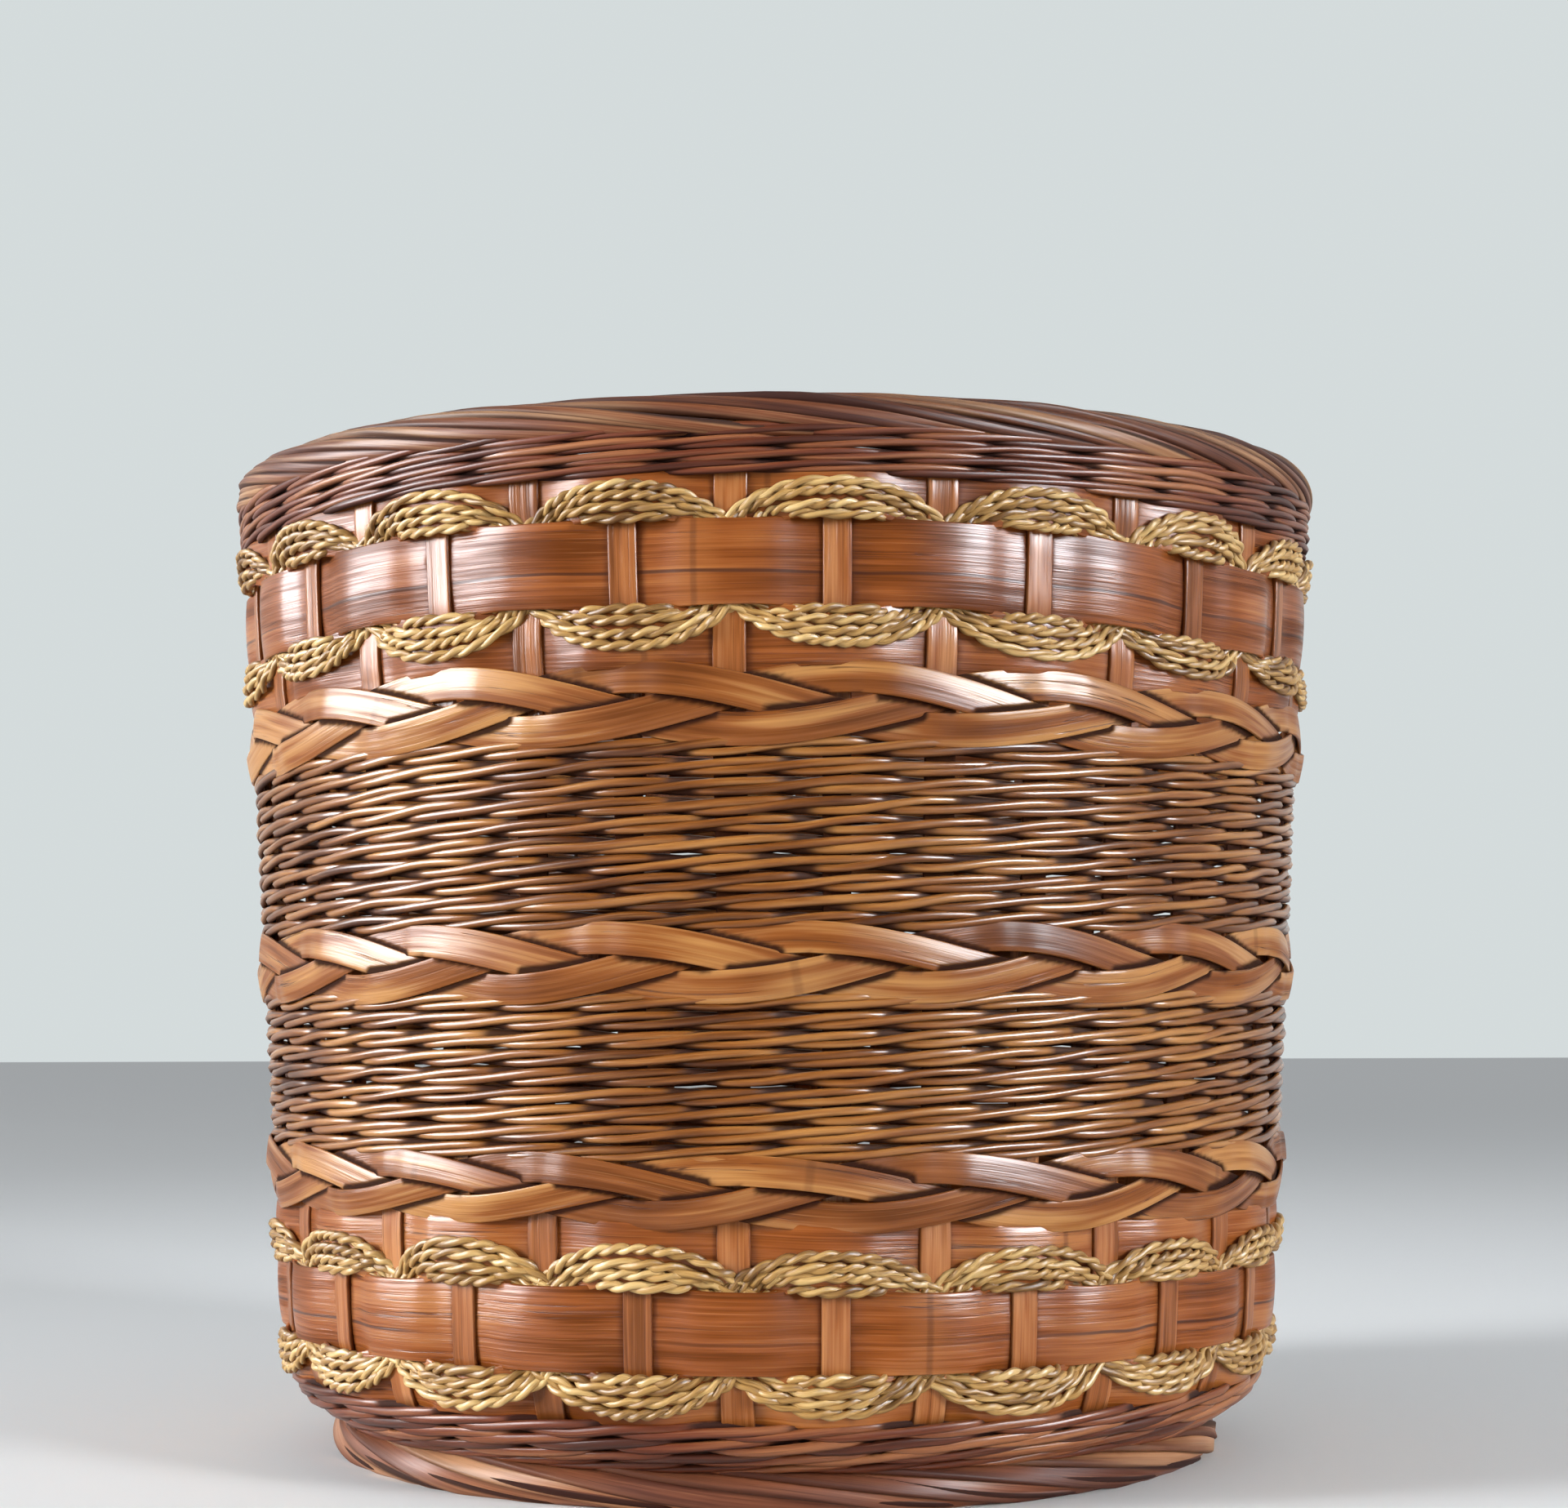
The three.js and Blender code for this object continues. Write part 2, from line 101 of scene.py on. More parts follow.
# Strands are laid out on a flat wall that faces -Y, then wrapped round the pot
def sweep(path, outline, loopLength=0.0):  # outline holds (outward, up) pairs
    if loopLength:
        run = np.roll(path, -1, 0) - np.roll(path, 1, 0)
        run[[0, -1], 0] += loopLength
    else:
        run = np.gradient(path, axis=0)
    run /= np.linalg.norm(run, axis=1, keepdims=True)
    outward = np.array([0.0, -1.0, 0.0]) - run * (-run[:, 1:2])
    outward /= np.linalg.norm(outward, axis=1, keepdims=True)
    up = np.cross(outward, run)
    outline = np.broadcast_to(outline, (len(path),) + outline.shape[-2:])
    return (path[:, None]
            + outline[..., 0:1] * outward[:, None]
            + outline[..., 1:2] * up[:, None])


def sweepRound(turn, radius, outward, height, outline):  # a strand that closes on itself
    path = np.stack([turn * radius, -outward, height], -1)
    return sweep(path, outline, fullTurn * radius)


def polar(angle, radius, height):
    return np.stack([radius * np.sin(angle), -radius * np.cos(angle), height], -1)


# Where the hand-woven courses ride up or down: angle and its reach in degrees, height and its
# reach, and how far
unevenCourses = (
    (-34.0, 20.0, 193 * mm, 36 * mm, 2.3 * mm),
    (5.0, 26.0, 193 * mm, 36 * mm, 2.0 * mm),
    (54.0, 16.0, 196 * mm, 22 * mm, -2.0 * mm),
    (-26.0, 34.0, 56 * mm, 13 * mm, 2.2 * mm),
)


def courseRise(turn, height):
    rise = np.zeros_like(turn)
    for angle, angleReach, level, levelReach, amount in unevenCourses:
        away = (np.degrees(turn) - angle + 180) % 360 - 180
        distance = (away / angleReach) ** 2 + ((height - level) / levelReach) ** 2
        rise = rise + amount * np.exp(-distance)
    return rise


def wrapOnWall(grid, radius=None, angle=0.0):  # follows the lean of the uprights
    lean = np.arctan(np.interp(grid[..., 2], wallHeights, wallSlopes))
    middle = wallRadius(grid[..., 2])
    outward = -grid[..., 1]
    turn = angle + grid[..., 0] / (middle if radius is None else radius)
    height = grid[..., 2] - outward * np.sin(lean)
    return polar(turn, middle + outward * np.cos(lean), height + courseRise(turn, height))


def wrapOnRing(grid, radius, angle=0.0):  # follows an upright ring
    return polar(angle + grid[..., 0] / radius, radius - grid[..., 1], grid[..., 2])


def roundOutline(size, outward, up):
    turn = np.arange(size) * fullTurn / size
    return np.stack([outward * np.cos(turn), up * np.sin(turn)], -1)


splintEdge = {"inset": 0.34, "ease": 0.3}  # of the thickness, and of that inset


def splintOutline(width, thickness, crown=0.0, steps=5, ridge=0.0):  # flat, with eased edges
    half, back = width / 2, thickness / 2
    edge = thickness * splintEdge["inset"]
    ease = edge * splintEdge["ease"]
    rise = np.linspace(edge - half, half - edge, steps)
    share = np.abs(rise / half)
    face = back + crown * (1 - share ** 2) + ridge * share ** 4 - ridge / 2
    front = np.stack([face, rise], -1)
    top = [(face[-1] - ease, half - ease), (face[-1] - edge, half),
           (edge - back, half), (ease - back, half - ease)]
    rear = [(-back, half - edge), (-back, 0), (-back, edge - half)]
    bottom = [(x, -y) for x, y in reversed(top)]
    return np.concatenate([front, top, rear, bottom])


def widened(outline, breadth):  # one outline for each sample, broader or narrower
    return outline[None] * np.stack([np.ones_like(breadth), breadth], -1)[:, None]


def rolled(outline, angle):  # turned about the strand, top edge inward
    cos, sin = np.cos(angle)[:, None], np.sin(angle)[:, None]
    outward, up = outline[..., 0], outline[..., 1]
    return np.stack([outward * cos - up * sin, outward * sin + up * cos], -1)


def wander(angle, amount, waves=(2, 3, 5)):  # random drift in waves that close on themselves
    total = sum(random.normal() * np.cos(wave * angle + random.uniform(0, fullTurn))
                for wave in waves)
    return amount * total / math.sqrt(len(waves))


def eased(value, start, end):  # 0 before start, 1 past end, soft between
    share = np.clip((value - start) / (end - start), 0, 1)
    return share * share * (3 - 2 * share)


# One mesh gathers many strands; each point is marked with its place on the strand, the strand's
# seed, its depth in the weave, and whether it is on the outer face
pointMarks = {
    "strand": ("FLOAT_VECTOR", "vector"),
    # depth sets how much shade is painted at a point
    "depth": ("FLOAT", "value"),
    "outerFace": ("FLOAT", "value"),
}
outerFaceRange = (-0.4, 0.2)  # of half the thickness


def newBundle():
    lists = ("points", *pointMarks, "loops", "sizes", "flat")
    return {"count": 0, **{name: [] for name in lists}}


def addStrand(bundle, grid, outline, along, seed, closed=False, depth=0.0):
    rows, size = grid.shape[:2]
    number = bundle["count"] + np.arange(rows * size).reshape(rows, size)
    here = number if closed else number[:-1]
    after = np.roll(number, -1, 0) if closed else number[1:]
    quads = np.stack([here, after, np.roll(after, -1, 1), np.roll(here, -1, 1)], -1).reshape(-1, 4)
    outward, up = outline[..., 0], outline[..., 1]
    outer = eased(outward / np.abs(outward).max(), *outerFaceRange)
    depth = np.asarray(depth, float)
    depth = depth[:, None] if depth.ndim == 1 else depth
    # the painted shade is kept to the outer face
    along, across, seed, depth, outer = (
        np.broadcast_to(mark, (rows, size))
        for mark in (along[:, None], up / np.abs(up).max(), seed, depth * outer, outer))
    bundle["points"].append(grid.reshape(-1, 3))
    bundle["strand"].append(np.stack([along, across, seed], -1).reshape(-1, 3))
    bundle["depth"].append(depth.reshape(-1))
    bundle["outerFace"].append(outer.reshape(-1))
    bundle["loops"].append(quads.reshape(-1))
    bundle["sizes"].append(np.full(len(quads), 4))
    bundle["flat"].append(np.zeros(len(quads), bool))
    if not closed:
        bundle["loops"] += [number[0][::-1], number[-1]]
        bundle["sizes"].append(np.full(2, size))
        bundle["flat"].append(np.ones(2, bool))
    bundle["count"] += rows * size


def newObject(name, data):
    item = bpy.data.objects.new(name, data)
    bpy.context.collection.objects.link(item)
    return item


def makePiece(name, bundle, material, node):
    points, loops, sizes, flat = (np.concatenate(bundle[key])
                                  for key in ("points", "loops", "sizes", "flat"))
    starts = np.concatenate([[0], np.cumsum(sizes)[:-1]])
    mesh = bpy.data.meshes.new(name)
    mesh.vertices.add(len(points))
    mesh.vertices.foreach_set("co", points.ravel())
    mesh.loops.add(len(loops))
    mesh.loops.foreach_set("vertex_index", loops)
    mesh.polygons.add(len(sizes))
    mesh.polygons.foreach_set("loop_start", starts)
    mesh.polygons.foreach_set("use_smooth", ~flat)
    for mark, (kind, field) in pointMarks.items():
        attribute = mesh.attributes.new(mark, kind, "POINT")
        attribute.data.foreach_set(field, np.concatenate(bundle[mark]).ravel())
    mesh.update(calc_edges=True)
    mesh.validate()
    mesh.materials.append(materials[material])
    piece = newObject(name, mesh)
    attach(piece, "root")
    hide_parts(node)


# Materials: grain and blotches run with each strand, over stain tones, and shade is painted along
# its edges, hollows and underside
def addNode(tree, kind, **values):
    node = tree.nodes.new("ShaderNode" + kind)
    for key, value in values.items():
        setattr(node, key, value)
    return node


def feed(node, values):  # each input gets a number, a colour or another node's output
    for key, value in values.items():
        if isinstance(value, (int, float)):
            node.inputs[key].default_value = value
        elif isinstance(value, tuple):
            node.inputs[key].default_value = (*value, 1.0)
        else:
            node.id_data.links.new(value, node.inputs[key])


def maths(tree, operation, first, second=0.0, third=0.0, clamp=False):
    node = addNode(tree, "Math", operation=operation, use_clamp=clamp)
    feed(node, {0: first, 1: second, 2: third})
    return node.outputs[0]


def apart(tree, first, second):  # how far two values are from each other
    return maths(tree, "ABSOLUTE", maths(tree, "SUBTRACT", first, second))


def vary(tree, value, noise, amount, clamp=False):  # adds the noise's swing about its middle
    swing = maths(tree, "SUBTRACT", noise, 0.5)
    return maths(tree, "MULTIPLY_ADD", swing, amount, value, clamp=clamp)


def smooth(tree, value, low, high, lowOut=0.0, highOut=1.0):
    node = addNode(tree, "MapRange", interpolation_type="SMOOTHSTEP")
    feed(node, {0: value, 1: low, 2: high, 3: lowOut, 4: highOut})
    return node.outputs["Result"]


def noiseAt(tree, place, detail, scale=1.0, roughness=0.55):
    node = addNode(tree, "TexNoise")
    feed(node, {"Vector": place, "Scale": scale, "Detail": detail, "Roughness": roughness})
    return node.outputs["Fac"]


def rampOver(tree, value, stops):
    node = addNode(tree, "ValToRGB")
    ramp = node.color_ramp
    while len(ramp.elements) < len(stops):
        ramp.elements.new(0.5)
    for element, (place, colour) in zip(ramp.elements, stops):
        element.position = place
        element.color = (*colour, 1.0)
    feed(node, {0: value})
    return node.outputs[0]


def blend(tree, share, first, second):
    node = addNode(tree, "Mix", data_type="RGBA")
    feed(node, {0: share, 6: first, 7: second})
    return node.outputs[2]


def tint(tree, colour, share, amount, paint):
    return blend(tree, maths(tree, "MULTIPLY", share, amount), colour, paint)


# What all looks share; a range holds where a mark starts and where it is whole
rules = {
    "seedShift": 83.0,  # sets each strand's noise apart
    "streakRange": (0.6, 0.76), "lineRange": (0.4, 0.26),
    "knotShift": 7.0,  # sets each strand's joints apart
    "knotBend": 0.002, "knotRange": (0.0012, 0.0045), "haloRange": (0.006, 0.03),
    "haloShare": 0.4,  # of the joint's depth of colour
    "crackRange": (0.002, 0.012),
    "crackPatches": (16.0, 1.1),  # their noise lengthwise and crosswise
    "crackPatchRange": (0.54, 0.64), "crackShade": 0.75, "seamRange": (0.016, 0.056),
    "seamRunRange": (0.36, 0.46), "seamShade": 0.85,
    "raggedness": 0.8,  # of the painted shade in a hollow
    # hollowRange and underRange: where shade is painted in a hollow and on an underside
    "hollowRange": (0.12, 0.85), "underRange": (-0.1, -0.95), "polishRange": (0.3, 0.7),
    "polishChange": (-0.06, 0.08),  # of the roughness
    "bareRoughness": 0.5, "innerShine": 0.1, "bareRange": (0.1, 0.7), "patchyRange": (0.84, 1.12),
    "fibreRelief": 0.4,
}


def strandNoise(tree, strand, scales, detail, roughness=0.55):  # scaled lengthwise and crosswise
    along, across = (maths(tree, "MULTIPLY", strand[key], scale)
                     for key, scale in zip(("along", "across"), scales))
    place = addNode(tree, "CombineXYZ")
    feed(place, {"X": along, "Y": across, "Z": strand["shift"]})
    return noiseAt(tree, place.outputs[0], detail, roughness=roughness)


def readStrand(tree, look):  # a point's place on its strand, and the noises that run with it
    marks = addNode(tree, "Attribute", attribute_name="strand")
    parts = addNode(tree, "SeparateXYZ")
    feed(parts, {0: marks.outputs["Vector"]})
    strand = dict(zip(("along", "across", "seed"), parts.outputs))
    strand["shift"] = maths(tree, "MULTIPLY", strand["seed"], rules["seedShift"])
    strand["grain"] = strandNoise(tree, strand, look["grain"], detail=3.0, roughness=0.65)
    strand["fibre"] = strandNoise(tree, strand, look["fibre"], detail=2.0)
    strand["blotch"] = strandNoise(tree, strand, look["blotch"], detail=2.0)
    return strand


def grainColour(tree, strand, look):
    place = addNode(tree, "TexCoord").outputs["Object"]
    stainAndShade = noiseAt(tree, place, detail=2.0, scale=look["stainScale"])
    grainTone = look["grainTone"]
    tone = maths(tree, "MULTIPLY_ADD", strand["grain"], grainTone, 0.5 - grainTone / 2)
    tone = vary(tree, tone, strand["blotch"], look["blotchTone"])
    tone = vary(tree, tone, stainAndShade, look["stainTone"])
    tone = vary(tree, tone, strand["seed"], look["strandTone"], clamp=True)
    colour = rampOver(tree, tone, look["colours"])
    streak = smooth(tree, strand["fibre"], *rules["streakRange"])
    colour = tint(tree, colour, streak, look["streak"], look["streakColour"])
    line = smooth(tree, strand["fibre"], *rules["lineRange"])
    return tint(tree, colour, line, look["line"], look["knotColour"])


def addKnots(tree, strand, look, colour):  # the pale and dark rings of a bamboo joint
    shift = maths(tree, "MULTIPLY", strand["seed"], rules["knotShift"])
    spacing = maths(tree, "MULTIPLY_ADD", strand["along"], 1 / look["knots"], shift)
    bend = maths(tree, "MULTIPLY_ADD", strand["grain"], rules["knotBend"], spacing)
    ring = apart(tree, maths(tree, "FRACT", bend), 0.5)
    depth, haloDepth = look["knotDepth"], look["knotDepth"] * rules["haloShare"]
    dark = smooth(tree, ring, *rules["knotRange"], depth, 0.0)
    halo = smooth(tree, ring, *rules["haloRange"], haloDepth, 0.0)
    colour = blend(tree, halo, colour, look["streakColour"])
    return blend(tree, dark, colour, look["knotColour"])


def addCracks(tree, strand, look, colour):  # thin dark splits along the grain, here and there
    gap = apart(tree, strandNoise(tree, strand, look["crack"], detail=3.0), 0.5)
    patches = strandNoise(tree, strand, rules["crackPatches"], detail=1.0)
    patch = smooth(tree, patches, *rules["crackPatchRange"])
    thin = smooth(tree, gap, *rules["crackRange"], 1.0, 0.0)
    crack = maths(tree, "MULTIPLY", thin, patch)
    strand["crack"] = crack
    return tint(tree, colour, crack, rules["crackShade"], look["knotColour"])


def addSeam(tree, strand, look, colour):  # a long split that runs along the band, on and off
    start = look["seam"] - look["seamDrift"] / 2
    line = maths(tree, "MULTIPLY_ADD", strand["blotch"], look["seamDrift"], start)
    beside = apart(tree, strand["across"], line)
    runs = strandNoise(tree, strand, (look["seamRuns"], 0.0), detail=1.0)
    run = smooth(tree, runs, *rules["seamRunRange"])
    thin = smooth(tree, beside, *rules["seamRange"], rules["seamShade"], 0.0)
    return tint(tree, colour, thin, run, look["knotColour"])


def addPaintedShade(tree, strand, look, colour):  # painted shade: dark edges, and shade below and where strands dip
    # shade painted along a strand's edges
    edge = maths(tree, "ABSOLUTE", strand["across"])
    edge = smooth(tree, edge, look["edgeStart"], 1.0)
    colour = tint(tree, colour, edge, look["edge"], look["edgeShadeColour"])
    # shade painted where a strand lies deep in the weave, made uneven by its blotches
    hollowShade = addNode(tree, "Attribute", attribute_name="depth").outputs["Fac"]
    ragged = vary(tree, hollowShade, strand["blotch"], rules["raggedness"])
    strand["dirt"] = smooth(tree, ragged, *rules["hollowRange"], 0.0, look["hollowShade"])
    colour = blend(tree, strand["dirt"], colour, look["paintedShadeColour"])
    # shade painted on a strand's underside, as if lit from above
    strand["under"] = smooth(tree, strand["across"], *rules["underRange"], 0.0, look["under"])
    return blend(tree, strand["under"], colour, look["paintedShadeColour"])


def addVarnish(tree, strand, look, shader):  # less where shade is painted or inside
    glossy, dull = (look["roughness"] + change for change in rules["polishChange"])
    polish = smooth(tree, strand["fibre"], *rules["polishRange"], glossy, dull)
    bare = maths(tree, "MAXIMUM", strand["dirt"], strand["under"])
    roughness = maths(tree, "MULTIPLY_ADD", bare, rules["bareRoughness"], polish, clamp=True)
    varnish = smooth(tree, bare, *rules["bareRange"], look["coat"], 0.0)
    outer = addNode(tree, "Attribute", attribute_name="outerFace").outputs["Fac"]
    brushed = smooth(tree, outer, 0.0, 1.0, rules["innerShine"], 1.0)
    varnish = maths(tree, "MULTIPLY", varnish, brushed)
    patchy = maths(tree, "ADD", strand["grain"], strand["blotch"])
    patchy = smooth(tree, patchy, *rules["patchyRange"], look["dull"], 1.0)
    feed(shader, {
        "Roughness": roughness, "Specular IOR Level": look["gloss"],
        "Coat Weight": maths(tree, "MULTIPLY", varnish, patchy),
        "Coat Roughness": look["coatRoughness"],
    })


def addRelief(tree, strand, look, shader):
    fibre, blotch = strand["fibre"], strand["blotch"]
    relief = maths(tree, "MULTIPLY_ADD", fibre, rules["fibreRelief"], strand["grain"])
    relief = maths(tree, "MULTIPLY_ADD", blotch, look["waviness"], relief)
    if "crack" in strand:
        relief = maths(tree, "SUBTRACT", relief, strand["crack"])
    bump = addNode(tree, "Bump")
    feed(bump, {"Strength": look["bump"], "Distance": look["bumpDepth"], "Height": relief})
    feed(shader, {"Normal": bump.outputs[0], "Coat Normal": bump.outputs[0]})


def strandMaterial(name, look):
    material = bpy.data.materials.new(name)
    material.use_nodes = True
    tree = material.node_tree
    shader = tree.nodes["Principled BSDF"]
    strand = readStrand(tree, look)
    colour = grainColour(tree, strand, look)
    for key, add in (("knots", addKnots), ("crack", addCracks), ("seam", addSeam)):
        if look.get(key):
            colour = add(tree, strand, look, colour)
    feed(shader, {"Base Color": addPaintedShade(tree, strand, look, colour)})
    addVarnish(tree, strand, look, shader)
    addRelief(tree, strand, look, shader)
    return material


# Each look also paints shade along a strand's edges, into its hollows and on its underside
bandLook = {
    "colours": ((0.24, (0.13, 0.03, 0.003)), (0.5, (0.27, 0.068, 0.009)),
                (0.78, (0.42, 0.14, 0.028))),
    "grain": (20.0, 12.0), "fibre": (30.0, 46.0), "blotch": (26.0, 1.4), "crack": (6.0, 5.0),
    "seam": -0.22, "seamDrift": 0.2, "seamRuns": 8.0,
    "grainTone": 0.7, "blotchTone": 0.9, "stainScale": 16.0, "stainTone": 0.7, "strandTone": 0.4,
    "streak": 0.5, "streakColour": (0.48, 0.19, 0.05), "line": 0.5,
    "knots": 0.235, "knotDepth": 0.36, "knotColour": (0.06, 0.015, 0.004),
    "edge": 0.5, "edgeStart": 0.9, "edgeShadeColour": (0.1, 0.025, 0.006),
    "hollowShade": 0.8, "paintedShadeColour": (0.07, 0.014, 0.003), "under": 0.0,
    "roughness": 0.46, "gloss": 0.08, "coat": 0.72, "coatRoughness": 0.22, "dull": 0.25,
    "bump": 0.7, "bumpDepth": 0.16 * mm, "waviness": 2.0,
}
hoopLook = {**bandLook, "seam": None}
uprightLook = {
    **hoopLook,
    "colours": ((0.24, (0.16, 0.044, 0.007)), (0.5, (0.325, 0.097, 0.02)),
                (0.78, (0.5, 0.195, 0.06))),
    "grain": (30.0, 4.0), "fibre": (24.0, 11.0), "blotch": (30.0, 0.8), "crack": None,
    "strandTone": 0.35,
    "streak": 0.4, "line": 0.6, "knots": 0, "hollowShade": 0.97, "paintedShadeColour": (0.03, 0.007, 0.002),
    "dull": 0.5, "bumpDepth": 0.18 * mm, "waviness": 1.2,
}
plaitLook = {
    **hoopLook,
    "colours": ((0.2, (0.13, 0.034, 0.005)), (0.5, (0.255, 0.075, 0.013)),
                (0.82, (0.48, 0.215, 0.06))),
    "grain": (20.0, 4.0), "fibre": (30.0, 13.0), "blotch": (22.0, 0.9), "crack": (9.0, 1.6),
    "grainTone": 0.55, "blotchTone": 1.4, "strandTone": 0.35,
    "streak": 0.3, "streakColour": (0.54, 0.26, 0.08), "line": 0.3, "knots": 0.31,
    "knotDepth": 0.25,
    "edge": 0.6, "edgeStart": 0.93, "hollowShade": 0.97, "paintedShadeColour": (0.024, 0.006, 0.002),
    "coat": 0.6, "coatRoughness": 0.25, "dull": 0.3, "waviness": 1.2,
}
reedLook = {
    "colours": ((0.22, (0.08, 0.02, 0.002)), (0.5, (0.25, 0.079, 0.012)),
                (0.8, (0.46, 0.196, 0.046))),
    "grain": (70.0, 1.6), "fibre": (60.0, 4.0), "blotch": (34.0, 0.5),
    "grainTone": 0.45, "blotchTone": 0.9, "stainScale": 20.0, "stainTone": 0.7, "strandTone": 0.25,
    "streak": 0.4, "streakColour": (0.52, 0.27, 0.08), "line": 0.3,
    "knotColour": (0.07, 0.018, 0.004),
    "edge": 0.0, "edgeStart": 0.9, "edgeShadeColour": (0.1, 0.04, 0.02),
    "hollowShade": 0.92, "paintedShadeColour": (0.036, 0.008, 0.002), "under": 0.7,
    "roughness": 0.36, "gloss": 0.2, "coat": 0.7, "coatRoughness": 0.17, "dull": 0.5,
    "bump": 0.4, "bumpDepth": 0.1 * mm, "waviness": 0.5,
}
rodLook = {
    **reedLook,
    "colours": ((0.2, (0.06, 0.013, 0.005)), (0.5, (0.155, 0.033, 0.01)),
                (0.82, (0.38, 0.14, 0.05))),
    "grain": (50.0, 2.4), "blotch": (20.0, 0.5), "stainScale": 11.0, "stainTone": 1.1,
    "strandTone": 0.4, "streakColour": (0.42, 0.19, 0.08), "line": 0.6, "fibre": (40.0, 6.0),
    "paintedShadeColour": (0.024, 0.005, 0.002),
    "roughness": 0.45, "gloss": 0.18, "coat": 0.38, "coatRoughness": 0.2, "dull": 0.4,
    "bumpDepth": 0.16 * mm,
}
rimLook = {
    **rodLook,
    "colours": ((0.2, (0.06, 0.014, 0.006)), (0.5, (0.185, 0.055, 0.019)),
                (0.82, (0.46, 0.24, 0.11))),
    "stainTone": 0.9, "grain": (36.0, 3.0), "line": 0.5, "coat": 0.18, "coatRoughness": 0.32,
    "edge": 0.7, "edgeStart": 0.8, "edgeShadeColour": (0.05, 0.012, 0.005), "under": 0.4,
}
footLook = {
    **rodLook,
    "colours": ((0.2, (0.11, 0.03, 0.014)), (0.5, (0.25, 0.08, 0.034)),
                (0.82, (0.5, 0.24, 0.11))),
    "grain": (30.0, 4.0), "fibre": (34.0, 12.0), "strandTone": 0.5, "coat": 0.15,
    "coatRoughness": 0.3,
    "roughness": 0.5, "edge": 0.6, "edgeStart": 0.82, "edgeShadeColour": (0.07, 0.018, 0.008),
    "under": 0.4,
}
seagrassLook = {
    "colours": ((0.18, (0.16, 0.066, 0.012)), (0.5, (0.46, 0.25, 0.068)),
                (0.8, (0.72, 0.48, 0.19))),
    "grain": (120.0, 1.4), "fibre": (140.0, 7.0), "blotch": (60.0, 0.5),
    "grainTone": 0.6, "blotchTone": 0.8, "stainScale": 40.0, "stainTone": 0.6, "strandTone": 0.36,
    "streak": 0.5, "streakColour": (0.74, 0.54, 0.26), "line": 0.5,
    "knotColour": (0.1, 0.04, 0.01),
    "edge": 0.5, "edgeStart": 0.6, "edgeShadeColour": (0.14, 0.055, 0.013),
    "hollowShade": 0.6, "paintedShadeColour": (0.11, 0.04, 0.009), "under": 0.3,
    "roughness": 0.45, "gloss": 0.25, "coat": 0.45, "coatRoughness": 0.18, "dull": 0.4,
    "bump": 0.6, "bumpDepth": 0.2 * mm, "waviness": 0.4,
}
baseLook = {
    **reedLook,
    "colours": ((0.2, (0.1, 0.032, 0.01)), (0.5, (0.26, 0.09, 0.026)), (0.8, (0.42, 0.19, 0.07))),
}

looks = {
    "bambooBand": bandLook,
    "bambooHoop": hoopLook,
    "bambooUpright": uprightLook,
    "bambooPlait": plaitLook,
    "varnishedReed": reedLook,
    "darkRod": rodLook,
    "rimSplint": rimLook,
    "footSplint": footLook,
    "seagrassCord": seagrassLook,
    "baseReed": baseLook,
}
materials = {name: strandMaterial(name, look) for name, look in looks.items()}
print("materials ready")


# Uprights: flat splints that step over the wide bands and under the hoops, or the other way round
uprights = {
    "widths": (6.1 * mm, 7.0 * mm),  # over the wide bands, and behind them
    "widthSpread": 0.03, "thickness": 1.0 * mm, "edgeRidge": 0.3 * mm, "faceSteps": 7,
    "bulge": 0.45 * mm, "dip": 0.3 * mm, "stepSoftness": 1.6 * mm, "sway": 0.35 * mm,
    "drift": (0.21 * mm, (1, 2)),
    "hoopShade": 0.55,  # under a hoop, of the shade painted in the wicker
    "samples": 96, "wideBands": ("lower_wide_band", "upper_wide_band"),
    "hoops": ("lower_hoop_bottom", "lower_hoop_top", "upper_hoop_bottom", "upper_hoop_top"),
    # courses that cover the uprights, where shade is painted on them
    "covered": ("lower_wicker", "upper_wicker", "bottom_waling", "top_waling"),
}


def onCourses(height, courses):  # 1 on these courses and 0 beside them
    softness = uprights["stepSoftness"]
    return sum(0.5 * (np.tanh((height - low) / softness) - np.tanh((height - high) / softness))
               for low, high in map(heightsOf, courses))


def makeUpright(index):
    node = f"stake_{index + 1:02d}"
    low, high = heightsOf(node)
    height = np.linspace(low, high, uprights["samples"])
    over = onCourses(height, uprights["wideBands"])
    under = onCourses(height, uprights["hoops"])
    if index % 2:
        over, under = under, over
    outward = uprights["bulge"] * over - uprights["dip"] * under
    along = height - low
    slant = (height / high - 0.5) * random.normal() * uprights["sway"]
    side = slant + wander(along / along[-1] * fullTurn, *uprights["drift"])
    width = uprights["widths"][index % 2] * (1 + random.normal() * uprights["widthSpread"])
    outline = splintOutline(width, uprights["thickness"], steps=uprights["faceSteps"],
                            ridge=uprights["edgeRidge"])
    grid = sweep(np.stack([side, -outward, height], -1), outline)
    # shade painted where hoops, wicker and walings cover the upright
    stainAndShade = uprights["hoopShade"] * under + onCourses(height, uprights["covered"])
    bundle = newBundle()
    addStrand(bundle, wrapOnWall(grid, angle=angleOf(nodePoints(node))), outline, along,
              random.random(), depth=np.clip(stainAndShade, 0, 1))
    makePiece(f"uprightSplint_{index + 1:02d}", bundle, "bambooUpright", node)


for uprightIndex in range(weave["uprights"]):
    makeUpright(uprightIndex)
print("uprights woven")


